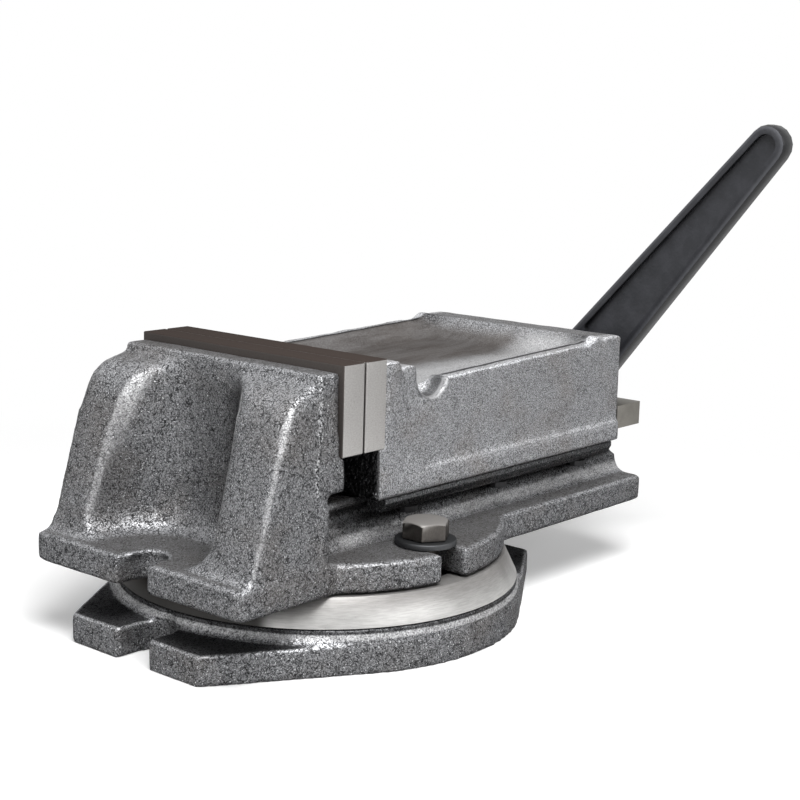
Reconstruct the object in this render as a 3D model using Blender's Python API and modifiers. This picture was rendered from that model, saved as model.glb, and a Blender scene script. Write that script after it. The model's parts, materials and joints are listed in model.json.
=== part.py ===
"""Machine vise on a swivel base, 125 mm jaws, modelled piece by piece.

Units are metres and +Z is up. The origin is on the swivel axis at the underside of the base.
+X runs along the screw, from the fixed jaw towards the crank handle.
"""

import math

import bmesh
import bpy
from mathutils import Matrix, Vector

# Clearances between pieces
SEAT_GAP = 0.0003          # between pieces that are bolted or rest together
TURNING_GAP = 0.0001       # radial, where one piece turns inside another
PASSING_GAP = 0.0012       # radial, round a screw that only passes through
OVERSHOOT = 0.002          # how far a cutting tool runs past the piece it cuts
BURY = 0.0005              # how far a joined lump reaches into its neighbour
WELD = 0.000002            # points closer than this are one point

# Jaw width, and how far the other widths stand in or out from it on each side
JAW_WIDTH = 0.125
SIDE_INSET = 0.0025        # sides of the movable jaw, from the plates' ends
FLANGE_INSET = 0.0005      # its flange, from the plates' ends
FOOT_PROUD = 0.0025        # the foot, from the plates' ends
BED_INSET = 0.0116         # the bed, from the movable jaw's sides
TRAY_RAIL = 0.0055         # width of the rail along each side of the tray
POCKET_RIB = 0.024         # width of the fixed jaw's ribs at the foot
FIXED_DRAFT = 0.0048       # taper of the fixed jaw's sides
KEEPER_SCREW_INSET = 0.0054
CLAMP_PROUD = 0.005        # the clamp bolts' axis, from the foot's sides
PLATE_SCREW_INSET = 0.0305   # the jaw plates' screws, from the plates' ends
BEARING_SCREW_INSET = 0.020

# Half widths that follow from these
JAW_SIDE = JAW_WIDTH / 2 - SIDE_INSET
FLANGE_SIDE = JAW_WIDTH / 2 - FLANGE_INSET
FOOT_HALF_WIDTH = JAW_WIDTH / 2 + FOOT_PROUD
BED_HALF_WIDTH = JAW_SIDE - BED_INSET
TRAY_HALF_WIDTH = JAW_SIDE - TRAY_RAIL
POCKET_HALF_WIDTH = FOOT_HALF_WIDTH - POCKET_RIB
FIXED_TOP_HALF_WIDTH = FOOT_HALF_WIDTH - FIXED_DRAFT
KEEPER_HALF_SPAN = JAW_SIDE
KEEPER_SCREW_Y = KEEPER_HALF_SPAN - KEEPER_SCREW_INSET
CLAMP_Y = FOOT_HALF_WIDTH + CLAMP_PROUD
PLATE_SCREW_Y = JAW_WIDTH / 2 - PLATE_SCREW_INSET

# Ring slot in the swivel base, for the clamp nuts
RING_SLOT_RADIUS = CLAMP_Y
RING_SLOT_WIDTH = 0.0135
RING_SLOT_LIP = 0.008
RING_SLOT_FLOOR = 0.013
RING_SLOT_UNDERCUT = 0.005

# Swivel base
BASE_THICKNESS = 0.0135
BAND_WALL = 0.018          # from the middle of the ring slot to the band's upper edge
BAND_TAPER = 0.0063
RIM_STEP = 0.0007
PLATE_STEP = 0.001
LUG_PROUD = 0.0185
BAND_TOP_RADIUS = RING_SLOT_RADIUS + BAND_WALL
BAND_FOOT_RADIUS = BAND_TOP_RADIUS + BAND_TAPER
RIM_RADIUS = BAND_FOOT_RADIUS + RIM_STEP
BASE_RADIUS = RIM_RADIUS + PLATE_STEP
LUG_REACH = BASE_RADIUS + LUG_PROUD
LUG_HALF_WIDTH = 0.0402
LUG_SLOT_WIDTH = 0.0188
LUG_SLOT_DEPTH = 0.0214
RIM_HEIGHT = 0.0062
BAND_HEIGHT = 0.0123
KEYWAY_WIDTH = 0.014
KEYWAY_DEPTH = 0.004
KEYWAY_START = 0.058

# Pivot pin in the middle of the base
PIVOT_RADIUS = 0.012
PIVOT_FLOOR = 0.006
PIVOT_REACH = 0.009
PIVOT_CHAMFER = 0.0012

# Foot of the vise body
FOOT_LEFT = 0.115
FOOT_RIGHT = 0.1815
FOOT_THICKNESS = 0.0137
FOOT_CORNER = 0.003
FOOT_SLOT_WIDTH = 0.0185
FOOT_SLOT_DEPTH = 0.0192
EAR_WALL = 0.0175          # from the clamp bolts' axis to the ears' edge
EAR_RADIUS = CLAMP_Y + EAR_WALL
EAR_SLOT_WIDTH = 0.014
EAR_SLOT_DEPTH = 0.011     # from the clamp bolts' axis inwards
EAR_SLOT_X = -0.0065
EAR_SLOT_END = CLAMP_Y - EAR_SLOT_DEPTH
CAST_EDGE = 0.0012

# Bed of the vise body
BED_HEIGHT = 0.0207
BED_LIP = 0.0044
BED_GROOVE_DEPTH = 0.0042
BED_GROOVE_HEIGHT = 0.0068
BED_COVE = 0.008
CHANNEL_HALF_WIDTH = 0.017
CHANNEL_SINK = 0.002
CHANNEL_START_GAP = 0.006

# Jaws
PLATE_THICKNESS = 0.0134
PLATE_HEIGHT = 0.0394
PLATE_FOOT_RISE = 0.0236
PLATE_CHAMFER = 0.0004
JAW_CENTRE_X = -0.0405
CLOSED_GAP = 0.0006

# Fixed jaw
FIXED_LEDGE = 0.0036
FIXED_BLOCK_DROP = 0.0145
FIXED_BLOCK_BACK = 0.0071
LIP_DEPTH = 0.012
FIXED_PLATE_PROUD = 0.003
MOVABLE_PLATE_PROUD = 0.002
LIP_STEP = 0.0056
RIB_SHOULDER_RADIUS = 0.018
RIB_LEAN = 0.354
RIB_SHOULDER_BACK = 0.0274
RIB_TOE_RADIUS = 0.005
RIB_EDGE_ROUND = 0.005
POCKET_WALL = 0.0166
POCKET_HEAD = 0.0045
POCKET_ROUND = 0.015
POCKET_FLOOR_ROUND = 0.005

# Movable jaw
FLANGE_HEIGHT = 0.0125
FLANGE_ROUND = 0.003
SIDE_PANEL_START = 0.0148
MOVABLE_LENGTH = 0.1878
MOVABLE_LEDGE = 0.0037
FRONT_LIP_DEPTH = 0.0095
FRONT_LIP_DROP = 0.004
SCALLOP_BACK = 0.0349
SCALLOP_RADIUS = 0.0099
SCALLOP_FLOOR = 0.0193
RAIL_DROP = 0.0112
RAIL_RISE = 0.0038
RAIL_STEP = 0.006
REAR_TOP_DROP = 0.0057
REAR_LIP_DEPTH = 0.0200
REAR_LIP_HEIGHT = 0.0024
TRAY_ROUND = 0.020
HOLLOW_HALF_WIDTH = 0.028
HOLLOW_HEIGHT = 0.030
HOLLOW_FRONT_WALL = 0.0190
HOLLOW_REAR_WALL = 0.0150
TONGUE_DEPTH = 0.0072
TONGUE_FRONT_LENGTH = 0.0175
TONGUE_REAR_LENGTH = 0.0125

# Keeper strips under the movable jaw
KEEPER_DEPTH = 0.0063
KEEPER_END_INSET = 0.004
KEEPER_REACH = 0.0036
KEEPER_SCREW_PITCH = 0.067
KEEPER_SCREW_COUNT = 3

# Lead screw and nut
SCREW_RISE = 0.0119
SCREW_RADIUS = 0.009
THREAD_DEPTH = 0.0025
THREAD_PITCH = 0.005
THREAD_FLAT = 0.37         # width of the crest, and of the root, as a share of the pitch
THREAD_SEGMENTS = 12
THREAD_START = math.radians(7)
SCREW_FRONT_CLEAR = 0.0035
THREAD_RUNOUT = 0.008
THREAD_RELIEF = 0.0015
NECK_RADIUS = 0.0075
SQUARE_SIZE = 0.0105
SQUARE_LENGTH = 0.0205
SQUARE_CHAMFER = 0.0009
NUT_REAR_ROOM = 0.0283     # from the nut to the hollow's rear wall with the jaw shut
NUT_LENGTH = 0.022
NUT_FOOT_LENGTH = 0.052
NUT_FOOT_HEIGHT = 0.009
NUT_WALL = 0.0055

# Bearing plate that holds the screw to the movable jaw
BEARING_LENGTH = 0.0216
BEARING_WING_HALF_SPAN = JAW_SIDE
BEARING_WING_HEIGHT = 0.012
BEARING_BOSS_HALF_WIDTH = 0.019
BEARING_BOSS_RISE = 0.0155
BEARING_SCREW_Y = BEARING_WING_HALF_SPAN - BEARING_SCREW_INSET
THRUST_WASHER_RADIUS = 0.0112
THRUST_WASHER_THICKNESS = 0.0016
RETAINING_RING_RADIUS = 0.0100
RETAINING_RING_THICKNESS = 0.0015
RING_GROOVE_DEPTH = 0.0009
RING_HALF_MOUTH = 0.0019

# Crank handle
HANDLE_HUB_RADIUS = 0.0184
HANDLE_HUB_LENGTH = 0.0185
HANDLE_TIP_RADIUS = 0.0103
HANDLE_REACH = 0.186
HANDLE_THICKNESS = 0.0120
HANDLE_EDGE_ROUND = 0.0028
HANDLE_RIM = 0.0046
HANDLE_WEB_SINK = 0.0032
HANDLE_WEB_START = 0.043
HANDLE_LEAN = math.radians(40.2)

# Swivel clamp bolts
CLAMP_RADIUS = 0.006
CLAMP_HEX = 0.019
CLAMP_HEAD = 0.0080
CLAMP_CHAMFER = 0.0016
CLAMP_WASHER_RADIUS = 0.0138
CLAMP_WASHER_THICKNESS = 0.0025
CLAMP_NUT_HALF_LENGTH = 0.009
CLAMP_NUT_SIDE_GAP = 0.001
CLAMP_NUT_HEIGHT = 0.0088

# Small socket screws: shank radius, head radius, head height, hexagon, hexagon depth
PLATE_SCREW = (0.004, 0.0065, 0.0080, 0.006, 0.0040)
NUT_SCREW = (0.0035, 0.0060, 0.0050, 0.005, 0.0030)
KEEPER_SCREW = (0.003, 0.0050, 0.0028, 0.004, 0.0018)
BEARING_SCREW = (0.003, 0.0050, 0.0060, 0.005, 0.0030)
PLATE_SCREW_DEPTH = 0.011
NUT_SCREW_DEPTH = 0.009
KEEPER_SCREW_DEPTH = 0.009
BEARING_SCREW_DEPTH = 0.009
COUNTERBORE_DEPTH = 0.0085

# Roundness, in facets to the circle
FACETS_LARGE = 64
FACETS_MEDIUM = 32
FACETS_SMALL = 12
FACETS_ROUND = 3
EDGE_SEGMENTS = 2
SMOOTH_ANGLE = math.radians(32)

# Heights and places that follow from the sizes above
BAND_BOTTOM_Z = BASE_THICKNESS + RIM_HEIGHT
BASE_TOP_Z = BAND_BOTTOM_Z + BAND_HEIGHT
FOOT_BOTTOM_Z = BASE_TOP_Z + SEAT_GAP
FOOT_TOP_Z = FOOT_BOTTOM_Z + FOOT_THICKNESS
BED_TOP_Z = FOOT_TOP_Z + BED_HEIGHT
CHANNEL_FLOOR_Z = FOOT_TOP_Z - CHANNEL_SINK
PLATE_BOTTOM_Z = BED_TOP_Z + PLATE_FOOT_RISE
PLATE_TOP_Z = PLATE_BOTTOM_Z + PLATE_HEIGHT
LEDGE_Z = PLATE_BOTTOM_Z - SEAT_GAP
FIXED_SEAT_X = JAW_CENTRE_X - CLOSED_GAP / 2 - PLATE_THICKNESS - SEAT_GAP
MOVABLE_SEAT_X = JAW_CENTRE_X + CLOSED_GAP / 2 + PLATE_THICKNESS + SEAT_GAP
LIP_TOP_Z = PLATE_TOP_Z - FIXED_PLATE_PROUD
SHOULDER_Z = LIP_TOP_Z - LIP_STEP
MOVABLE_BOTTOM_Z = BED_TOP_Z + SEAT_GAP
MOVABLE_TOP_Z = PLATE_TOP_Z - MOVABLE_PLATE_PROUD
MOVABLE_REAR_X = MOVABLE_SEAT_X + MOVABLE_LENGTH
SCREW_Z = BED_TOP_Z + SCREW_RISE
BEARING_FRONT_X = MOVABLE_REAR_X + SEAT_GAP
BEARING_REAR_X = BEARING_FRONT_X + BEARING_LENGTH
KEEPER_TOP_Z = MOVABLE_BOTTOM_Z - SEAT_GAP
KEEPER_BOTTOM_Z = KEEPER_TOP_Z - KEEPER_DEPTH
HOLLOW_FRONT_X = MOVABLE_SEAT_X + HOLLOW_FRONT_WALL
HOLLOW_REAR_X = MOVABLE_REAR_X - HOLLOW_REAR_WALL
NUT_CENTRE = HOLLOW_REAR_X - NUT_REAR_ROOM - NUT_LENGTH / 2
WASHER_FRONT_X = BEARING_REAR_X + SEAT_GAP
RING_FRONT_X = WASHER_FRONT_X + THRUST_WASHER_THICKNESS + SEAT_GAP
SQUARE_FRONT_X = RING_FRONT_X + RETAINING_RING_THICKNESS + 2 * SEAT_GAP

AXIS_FRAMES = {
    "X": Matrix(((0, 0, 1), (1, 0, 0), (0, 1, 0))).to_4x4(),
    "Y": Matrix(((1, 0, 0), (0, 0, -1), (0, 1, 0))).to_4x4(),
    "Z": Matrix.Identity(4),
}


def clear_scene():
    for existing in list(bpy.data.objects):
        bpy.data.objects.remove(existing, do_unlink=True)


def make_collection(name):
    collection = bpy.data.collections.new(name)
    bpy.context.scene.collection.children.link(collection)
    return collection


def make_material(name, colour, roughness, metallic):
    material = bpy.data.materials.new(name)
    material.use_nodes = True
    surface = material.node_tree.nodes["Principled BSDF"]
    surface.inputs["Base Color"].default_value = (*colour, 1.0)
    surface.inputs["Roughness"].default_value = roughness
    surface.inputs["Metallic"].default_value = metallic
    return material


def new_object(name, mesh):
    piece = bpy.data.objects.new(name, mesh)
    bpy.context.scene.collection.objects.link(piece)
    return piece


def face_outward(shape):
    bmesh.ops.recalc_face_normals(shape, faces=shape.faces)
    if shape.calc_volume(signed=True) < 0:
        bmesh.ops.reverse_faces(shape, faces=shape.faces)


def from_bmesh(name, shape):
    face_outward(shape)
    mesh = bpy.data.meshes.new(name)
    shape.to_mesh(mesh)
    shape.free()
    return new_object(name, mesh)


def bake(piece):
    """Replace the mesh by the one that the modifiers make."""
    bpy.context.view_layer.update()
    depsgraph = bpy.context.evaluated_depsgraph_get()
    baked = bpy.data.meshes.new_from_object(piece.evaluated_get(depsgraph))
    old = piece.data
    name = old.name
    piece.modifiers.clear()
    piece.data = baked
    bpy.data.meshes.remove(old)
    baked.name = name
    return piece


def combine(piece, tool, operation):
    step = piece.modifiers.new(operation.title(), "BOOLEAN")
    step.operation = operation
    step.solver = "EXACT"
    step.object = tool
    bake(piece)
    shape = bmesh.new()
    shape.from_mesh(piece.data)
    bmesh.ops.remove_doubles(shape, verts=shape.verts, dist=WELD)
    bmesh.ops.dissolve_degenerate(shape, edges=shape.edges, dist=WELD)
    shape.to_mesh(piece.data)
    shape.free()
    old = tool.data
    bpy.data.objects.remove(tool)
    bpy.data.meshes.remove(old)
    return piece


def cut(piece, *tools):
    for tool in tools:
        combine(piece, tool, "DIFFERENCE")
    return piece


def join(piece, *lumps):
    for lump in lumps:
        combine(piece, lump, "UNION")
    return piece


def rounded_outline(corners, facets=FACETS_ROUND):
    """Turn (u, v, radius) corners into points, with an arc at each corner that has a radius."""
    points = []
    count = len(corners)
    for index, (u, v, radius) in enumerate(corners):
        here = Vector((u, v))
        if radius <= 0:
            points.append((u, v))
            continue
        before = Vector(corners[index - 1][:2]) - here
        after = Vector(corners[(index + 1) % count][:2]) - here
        before.normalize()
        after.normalize()
        half = before.angle(after) / 2
        reach = radius / math.tan(half)
        centre = here + (before + after).normalized() * (radius / math.sin(half))
        start = here + before * reach - centre
        turn = (math.pi - 2 * half) * (1 if before.x * after.y - before.y * after.x < 0 else -1)
        for step in range(facets + 1):
            angle = turn * step / facets
            point = centre + Matrix.Rotation(angle, 2) @ start
            points.append((point.x, point.y))
    return points


def arc(centre, radius, start, end, facets):
    angles = [start + (end - start) * step / facets for step in range(facets + 1)]
    return [(centre[0] + radius * math.cos(a), centre[1] + radius * math.sin(a)) for a in angles]


def prism(name, outline, low, high, axis):
    """Extrude a flat outline from low to high along an axis."""
    curve = bpy.data.curves.new(name, "CURVE")
    curve.dimensions = "2D"
    curve.fill_mode = "NONE"
    curve.extrude = (high - low) / 2
    spline = curve.splines.new("POLY")
    spline.points.add(len(outline) - 1)
    for point, (u, v) in zip(spline.points, outline):
        point.co = (u, v, 0, 1)
    spline.use_cyclic_u = True
    guide = new_object(name, curve)
    bpy.context.view_layer.update()
    depsgraph = bpy.context.evaluated_depsgraph_get()
    mesh = bpy.data.meshes.new_from_object(guide.evaluated_get(depsgraph))
    bpy.data.objects.remove(guide)
    bpy.data.curves.remove(curve)
    shape = bmesh.new()
    shape.from_mesh(mesh)
    bpy.data.meshes.remove(mesh)
    bmesh.ops.remove_doubles(shape, verts=shape.verts, dist=WELD)
    bmesh.ops.holes_fill(shape, edges=shape.edges)
    frame = AXIS_FRAMES[axis]
    along = frame @ Vector((0, 0, 1))
    middle = along * ((low + high) / 2 * (along.x + along.y + along.z))
    shape.transform(Matrix.Translation(middle) @ frame)
    return from_bmesh(name, shape)


def box(name, low, high):
    shape = bmesh.new()
    bmesh.ops.create_cube(shape, size=1)
    low = Vector(low)
    high = Vector(high)
    size = high - low
    bmesh.ops.scale(shape, vec=size, verts=shape.verts)
    bmesh.ops.translate(shape, vec=(low + high) / 2, verts=shape.verts)
    return from_bmesh(name, shape)


def round_edges(piece, chosen, radius, facets):
    """Round the edges whose two ends satisfy a test."""
    shape = bmesh.new()
    shape.from_mesh(piece.data)
    edges = [edge for edge in shape.edges if chosen(edge)]
    bmesh.ops.bevel(
        shape, geom=edges, offset=radius, offset_type="OFFSET", segments=facets,
        profile=0.5, affect="EDGES", material=-1, clamp_overlap=True,
    )
    bmesh.ops.remove_doubles(shape, verts=shape.verts, dist=WELD)
    shape.to_mesh(piece.data)
    shape.free()
    return piece


def turned(name, profile, facets, axis="Z", centre=(0, 0, 0)):
    """Spin a profile of (radius, height) points, given from the top down, about an axis."""
    mesh = bpy.data.meshes.new(name)
    points = [(radius, 0, height) for radius, height in profile]
    joins = [(i, i + 1) for i in range(len(points) - 1)]
    if profile[0][0] > 0:
        joins.append((len(points) - 1, 0))
    mesh.from_pydata(points, joins, [])
    piece = new_object(name, mesh)
    spin = piece.modifiers.new("Screw", "SCREW")
    spin.axis = "Z"
    spin.angle = math.tau
    spin.steps = facets
    spin.render_steps = facets
    spin.use_merge_vertices = True
    spin.merge_threshold = 0.00001
    bake(piece)
    shape = bmesh.new()
    shape.from_mesh(piece.data)
    shape.transform(Matrix.Translation(centre) @ AXIS_FRAMES[axis])
    face_outward(shape)
    shape.to_mesh(piece.data)
    shape.free()
    return piece


def round_bar(name, radius, low, high, facets, axis="Z", centre=(0, 0, 0)):
    shape = bmesh.new()
    bmesh.ops.create_cone(
        shape, cap_ends=True, segments=facets, radius1=radius, radius2=radius, depth=high - low,
    )
    bmesh.ops.translate(shape, vec=(0, 0, (low + high) / 2), verts=shape.verts)
    shape.transform(Matrix.Translation(centre) @ AXIS_FRAMES[axis])
    return from_bmesh(name, shape)


def hexagon(name, across_flats, low, high):
    return round_bar(name, across_flats / 2 / math.cos(math.pi / 6), low, high, 6)


def shade(mesh, material):
    mesh.materials.clear()
    mesh.materials.append(material)
    mesh.shade_smooth()
    mesh.set_sharp_from_angle(angle=SMOOTH_ANGLE)


def finish(piece, material, collection, origin=(0, 0, 0), parent=None):
    """Give a piece its origin, parent, material and shading, and file it with the parts."""
    origin = Vector(origin)
    piece.data.transform(Matrix.Translation(-origin))
    piece.location = origin
    if parent is not None:
        piece.parent = parent
        piece.location = origin - parent.location
    shade(piece.data, material)
    for holder in list(piece.users_collection):
        holder.objects.unlink(piece)
    collection.objects.link(piece)
    return piece


def place_copy(name, source, collection, location, parent, turn=None):
    """Another object that shares the mesh of a repeated piece."""
    piece = bpy.data.objects.new(name, source)
    piece.location = Vector(location) - parent.location
    if turn is not None:
        piece.rotation_euler = turn
    piece.parent = parent
    collection.objects.link(piece)
    return piece


def slot_outline(centre_x, centre_y, half_width, reach, direction):
    """A slot with a round inner end, open along +X, -X, +Y or -Y."""
    start = {"+X": 90, "-X": -90, "+Y": 180, "-Y": 0}[direction]
    begin = math.radians(start)
    points = arc((centre_x, centre_y), half_width, begin, begin + math.pi, FACETS_MEDIUM // 3)
    step = {"+X": (1, 0), "-X": (-1, 0), "+Y": (0, 1), "-Y": (0, -1)}[direction]
    last = (points[-1][0] + step[0] * reach, points[-1][1] + step[1] * reach)
    first = (points[0][0] + step[0] * reach, points[0][1] + step[1] * reach)
    return points + [last, first]


def base_outline():
    """Round plate whose sides run on a tangent to the corners of the two lugs."""
    corner = Vector((LUG_REACH, LUG_HALF_WIDTH))
    bearing = math.atan2(corner.y, corner.x) + math.acos(BASE_RADIUS / corner.length)
    quarter = arc((0, 0), BASE_RADIUS, bearing, math.pi - bearing, FACETS_LARGE // 4)
    top = [(corner.x, corner.y)] + quarter + [(-corner.x, corner.y)]
    return top + [(-x, -y) for x, y in top]


def ring_slot_profile():
    """Section of the ring slot: a throat with an undercut below the lips, open at the top."""
    throat_in = RING_SLOT_RADIUS - RING_SLOT_WIDTH / 2
    throat_out = RING_SLOT_RADIUS + RING_SLOT_WIDTH / 2
    lip_z = BASE_TOP_Z - RING_SLOT_LIP
    return [
        (throat_out, BASE_TOP_Z + OVERSHOOT), (throat_out, lip_z),
        (throat_out + RING_SLOT_UNDERCUT, lip_z), (throat_out + RING_SLOT_UNDERCUT, RING_SLOT_FLOOR),
        (throat_in - RING_SLOT_UNDERCUT, RING_SLOT_FLOOR), (throat_in - RING_SLOT_UNDERCUT, lip_z),
        (throat_in, lip_z), (throat_in, BASE_TOP_Z + OVERSHOOT),
    ]


def build_swivel_base():
    plate = prism("swivel_base", base_outline(), 0, BASE_THICKNESS, "Z")
    top = BASE_THICKNESS - BURY
    round_edges(plate, lambda e: all(v.co.z > top for v in e.verts), CAST_EDGE, EDGE_SEGMENTS)
    turntable = turned("turntable", [
        (0, BASE_TOP_Z), (BAND_TOP_RADIUS, BASE_TOP_Z), (BAND_FOOT_RADIUS, BAND_BOTTOM_Z),
        (RIM_RADIUS, BAND_BOTTOM_Z - BURY), (RIM_RADIUS, BASE_THICKNESS / 2), (0, BASE_THICKNESS / 2),
    ], FACETS_LARGE)
    join(plate, turntable)
    cut(plate, turned("ring_slot", ring_slot_profile(), FACETS_LARGE))
    slot_x = LUG_REACH - LUG_SLOT_DEPTH + LUG_SLOT_WIDTH / 2
    for side, direction in ((-1, "-X"), (1, "+X")):
        outline = slot_outline(side * slot_x, 0, LUG_SLOT_WIDTH / 2, LUG_SLOT_DEPTH, direction)
        cut(plate, prism("lug_slot", outline, -OVERSHOOT, BAND_BOTTOM_Z + BURY, "Z"))
        ends = sorted((side * KEYWAY_START, side * (LUG_REACH + OVERSHOOT)))
        cut(plate, box("keyway", (ends[0], -KEYWAY_WIDTH / 2, -OVERSHOOT),
                       (ends[1], KEYWAY_WIDTH / 2, KEYWAY_DEPTH)))
    bore = round_bar("pivot_bore", PIVOT_RADIUS + SEAT_GAP, PIVOT_FLOOR - SEAT_GAP,
                     BASE_TOP_Z + OVERSHOOT, FACETS_MEDIUM)
    return cut(plate, bore)


def build_pivot_pin():
    top = FOOT_BOTTOM_Z + PIVOT_REACH
    return turned("pivot_pin", [
        (0, top), (PIVOT_RADIUS - PIVOT_CHAMFER, top), (PIVOT_RADIUS, top - PIVOT_CHAMFER),
        (PIVOT_RADIUS, PIVOT_FLOOR + PIVOT_CHAMFER), (PIVOT_RADIUS - PIVOT_CHAMFER, PIVOT_FLOOR),
        (0, PIVOT_FLOOR),
    ], FACETS_MEDIUM)


def foot_outline():
    """Long foot with a round ear on each side."""
    meet = math.asin(FOOT_HALF_WIDTH / EAR_RADIUS)
    ear = arc((0, 0), EAR_RADIUS, meet, math.pi - meet, FACETS_LARGE // 4)
    corners = rounded_outline([
        (FOOT_RIGHT, -FOOT_HALF_WIDTH, FOOT_CORNER), (FOOT_RIGHT, FOOT_HALF_WIDTH, FOOT_CORNER),
        (-FOOT_LEFT, FOOT_HALF_WIDTH, FOOT_CORNER), (-FOOT_LEFT, -FOOT_HALF_WIDTH, FOOT_CORNER),
    ])
    half = len(corners) // 2
    return corners[:half] + ear + corners[half:] + [(-x, -y) for x, y in ear]


def build_foot():
    foot = prism("vise_body", foot_outline(), FOOT_BOTTOM_Z, FOOT_TOP_Z, "Z")
    for side, direction in ((-1, "-Y"), (1, "+Y")):
        centre_y = side * (EAR_SLOT_END + EAR_SLOT_WIDTH / 2)
        outline = slot_outline(EAR_SLOT_X, centre_y, EAR_SLOT_WIDTH / 2, EAR_RADIUS, direction)
        cut(foot, prism("ear_slot", outline, FOOT_BOTTOM_Z - OVERSHOOT, FOOT_TOP_Z + OVERSHOOT, "Z"))
    top = FOOT_TOP_Z - BURY
    return round_edges(foot, lambda e: all(v.co.z > top for v in e.verts), CAST_EDGE, EDGE_SEGMENTS)


def rib_x(z):
    """X of the leaning back of the fixed jaw's ribs at a height."""
    return FIXED_SEAT_X - RIB_SHOULDER_BACK - (SHOULDER_Z - z) * RIB_LEAN


def build_fixed_jaw():
    floor = FOOT_TOP_Z - BURY
    buried = FOOT_BOTTOM_Z + FOOT_THICKNESS / 2
    block_front = FIXED_SEAT_X + FIXED_LEDGE
    block_back = FIXED_SEAT_X - FIXED_BLOCK_BACK
    block_bottom = LEDGE_Z - FIXED_BLOCK_DROP
    side_view = rounded_outline([
        (FIXED_SEAT_X, LIP_TOP_Z, 0), (FIXED_SEAT_X - LIP_DEPTH, LIP_TOP_Z, CAST_EDGE),
        (FIXED_SEAT_X - LIP_DEPTH - CAST_EDGE, SHOULDER_Z, CAST_EDGE),
        (rib_x(SHOULDER_Z), SHOULDER_Z, RIB_SHOULDER_RADIUS), (rib_x(floor), floor, RIB_TOE_RADIUS),
        (-FOOT_LEFT + CAST_EDGE, floor, 0), (-FOOT_LEFT + CAST_EDGE, buried, 0), (block_back, buried, 0),
        (block_back, block_bottom, CAST_EDGE), (block_front, block_bottom, CAST_EDGE),
        (block_front, LEDGE_Z, 0), (FIXED_SEAT_X, LEDGE_Z, 0),
    ])
    lowest = FOOT_BOTTOM_Z
    highest = LIP_TOP_Z + OVERSHOOT
    end_view = [(-FOOT_HALF_WIDTH, lowest), (FOOT_HALF_WIDTH, lowest),
                (FIXED_TOP_HALF_WIDTH, highest), (-FIXED_TOP_HALF_WIDTH, highest)]
    jaw = prism("fixed_jaw", side_view, -2 * FOOT_HALF_WIDTH, 2 * FOOT_HALF_WIDTH, "Y")
    combine(jaw, prism("draft", end_view, -2 * FOOT_LEFT, 0, "X"), "INTERSECT")
    lip_back = FIXED_SEAT_X - LIP_DEPTH - 2 * CAST_EDGE

    def on_back_edge(edge):
        first, second = (vertex.co for vertex in edge.verts)
        same_side = first.y * second.y > 0 and abs(first.y) > JAW_WIDTH / 3
        behind = max(first.x, second.x) < lip_back - CAST_EDGE
        upright = min(first.z, second.z) > floor - BURY and abs(first.z - second.z) > BURY
        return same_side and behind and upright

    round_edges(jaw, on_back_edge, RIB_EDGE_ROUND, FACETS_ROUND)
    return cut(jaw, build_pocket_tool())


def build_pocket_tool():
    """The hollow between the two ribs, as a block with rounded inner edges."""
    inner = FIXED_SEAT_X - POCKET_WALL
    floor = FOOT_TOP_Z - BURY
    top = SHOULDER_Z - POCKET_HEAD
    open_end = -2 * FOOT_LEFT
    tool = box("pocket", (open_end, -POCKET_HALF_WIDTH, floor), (inner, POCKET_HALF_WIDTH, top))

    def is_rounded(edge):
        middle = (edge.verts[0].co + edge.verts[1].co) / 2
        upper = all(vertex.co.z > top - BURY for vertex in edge.verts)
        inner_upright = middle.x > inner - BURY and abs(edge.verts[0].co.z - edge.verts[1].co.z) > BURY
        return (upper and middle.x > open_end + BURY) or inner_upright

    round_edges(tool, is_rounded, POCKET_ROUND, FACETS_ROUND)

    def on_floor(edge):
        middle = (edge.verts[0].co + edge.verts[1].co) / 2
        return all(vertex.co.z < floor + BURY for vertex in edge.verts) and middle.x > open_end + BURY

    return round_edges(tool, on_floor, POCKET_FLOOR_ROUND, EDGE_SEGMENTS)


def build_bed():
    """Rails with a lip and a groove on each side, on a coved root."""
    floor = FOOT_TOP_Z - BURY
    groove_top = BED_TOP_Z - BED_LIP
    groove_bottom = groove_top - BED_GROOVE_HEIGHT
    groove_y = BED_HALF_WIDTH - BED_GROOVE_DEPTH
    side = rounded_outline([
        (BED_HALF_WIDTH + BED_COVE + CAST_EDGE, floor, 0), (BED_HALF_WIDTH, floor, BED_COVE),
        (BED_HALF_WIDTH, groove_bottom, 0), (groove_y, groove_bottom + BURY, 0), (groove_y, groove_top, 0),
        (BED_HALF_WIDTH, groove_top, 0), (BED_HALF_WIDTH, BED_TOP_Z, 0),
        (-BED_HALF_WIDTH, BED_TOP_Z, 0),
    ])[:-1]
    outline = side + [(-y, z) for y, z in reversed(side)]
    outline += [(-BED_HALF_WIDTH, floor - 4 * BURY), (BED_HALF_WIDTH, floor - 4 * BURY)]
    start = FIXED_SEAT_X - 2 * FIXED_BLOCK_BACK
    return prism("bed", outline, start, FOOT_RIGHT - CAST_EDGE / 2, "X")


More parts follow.
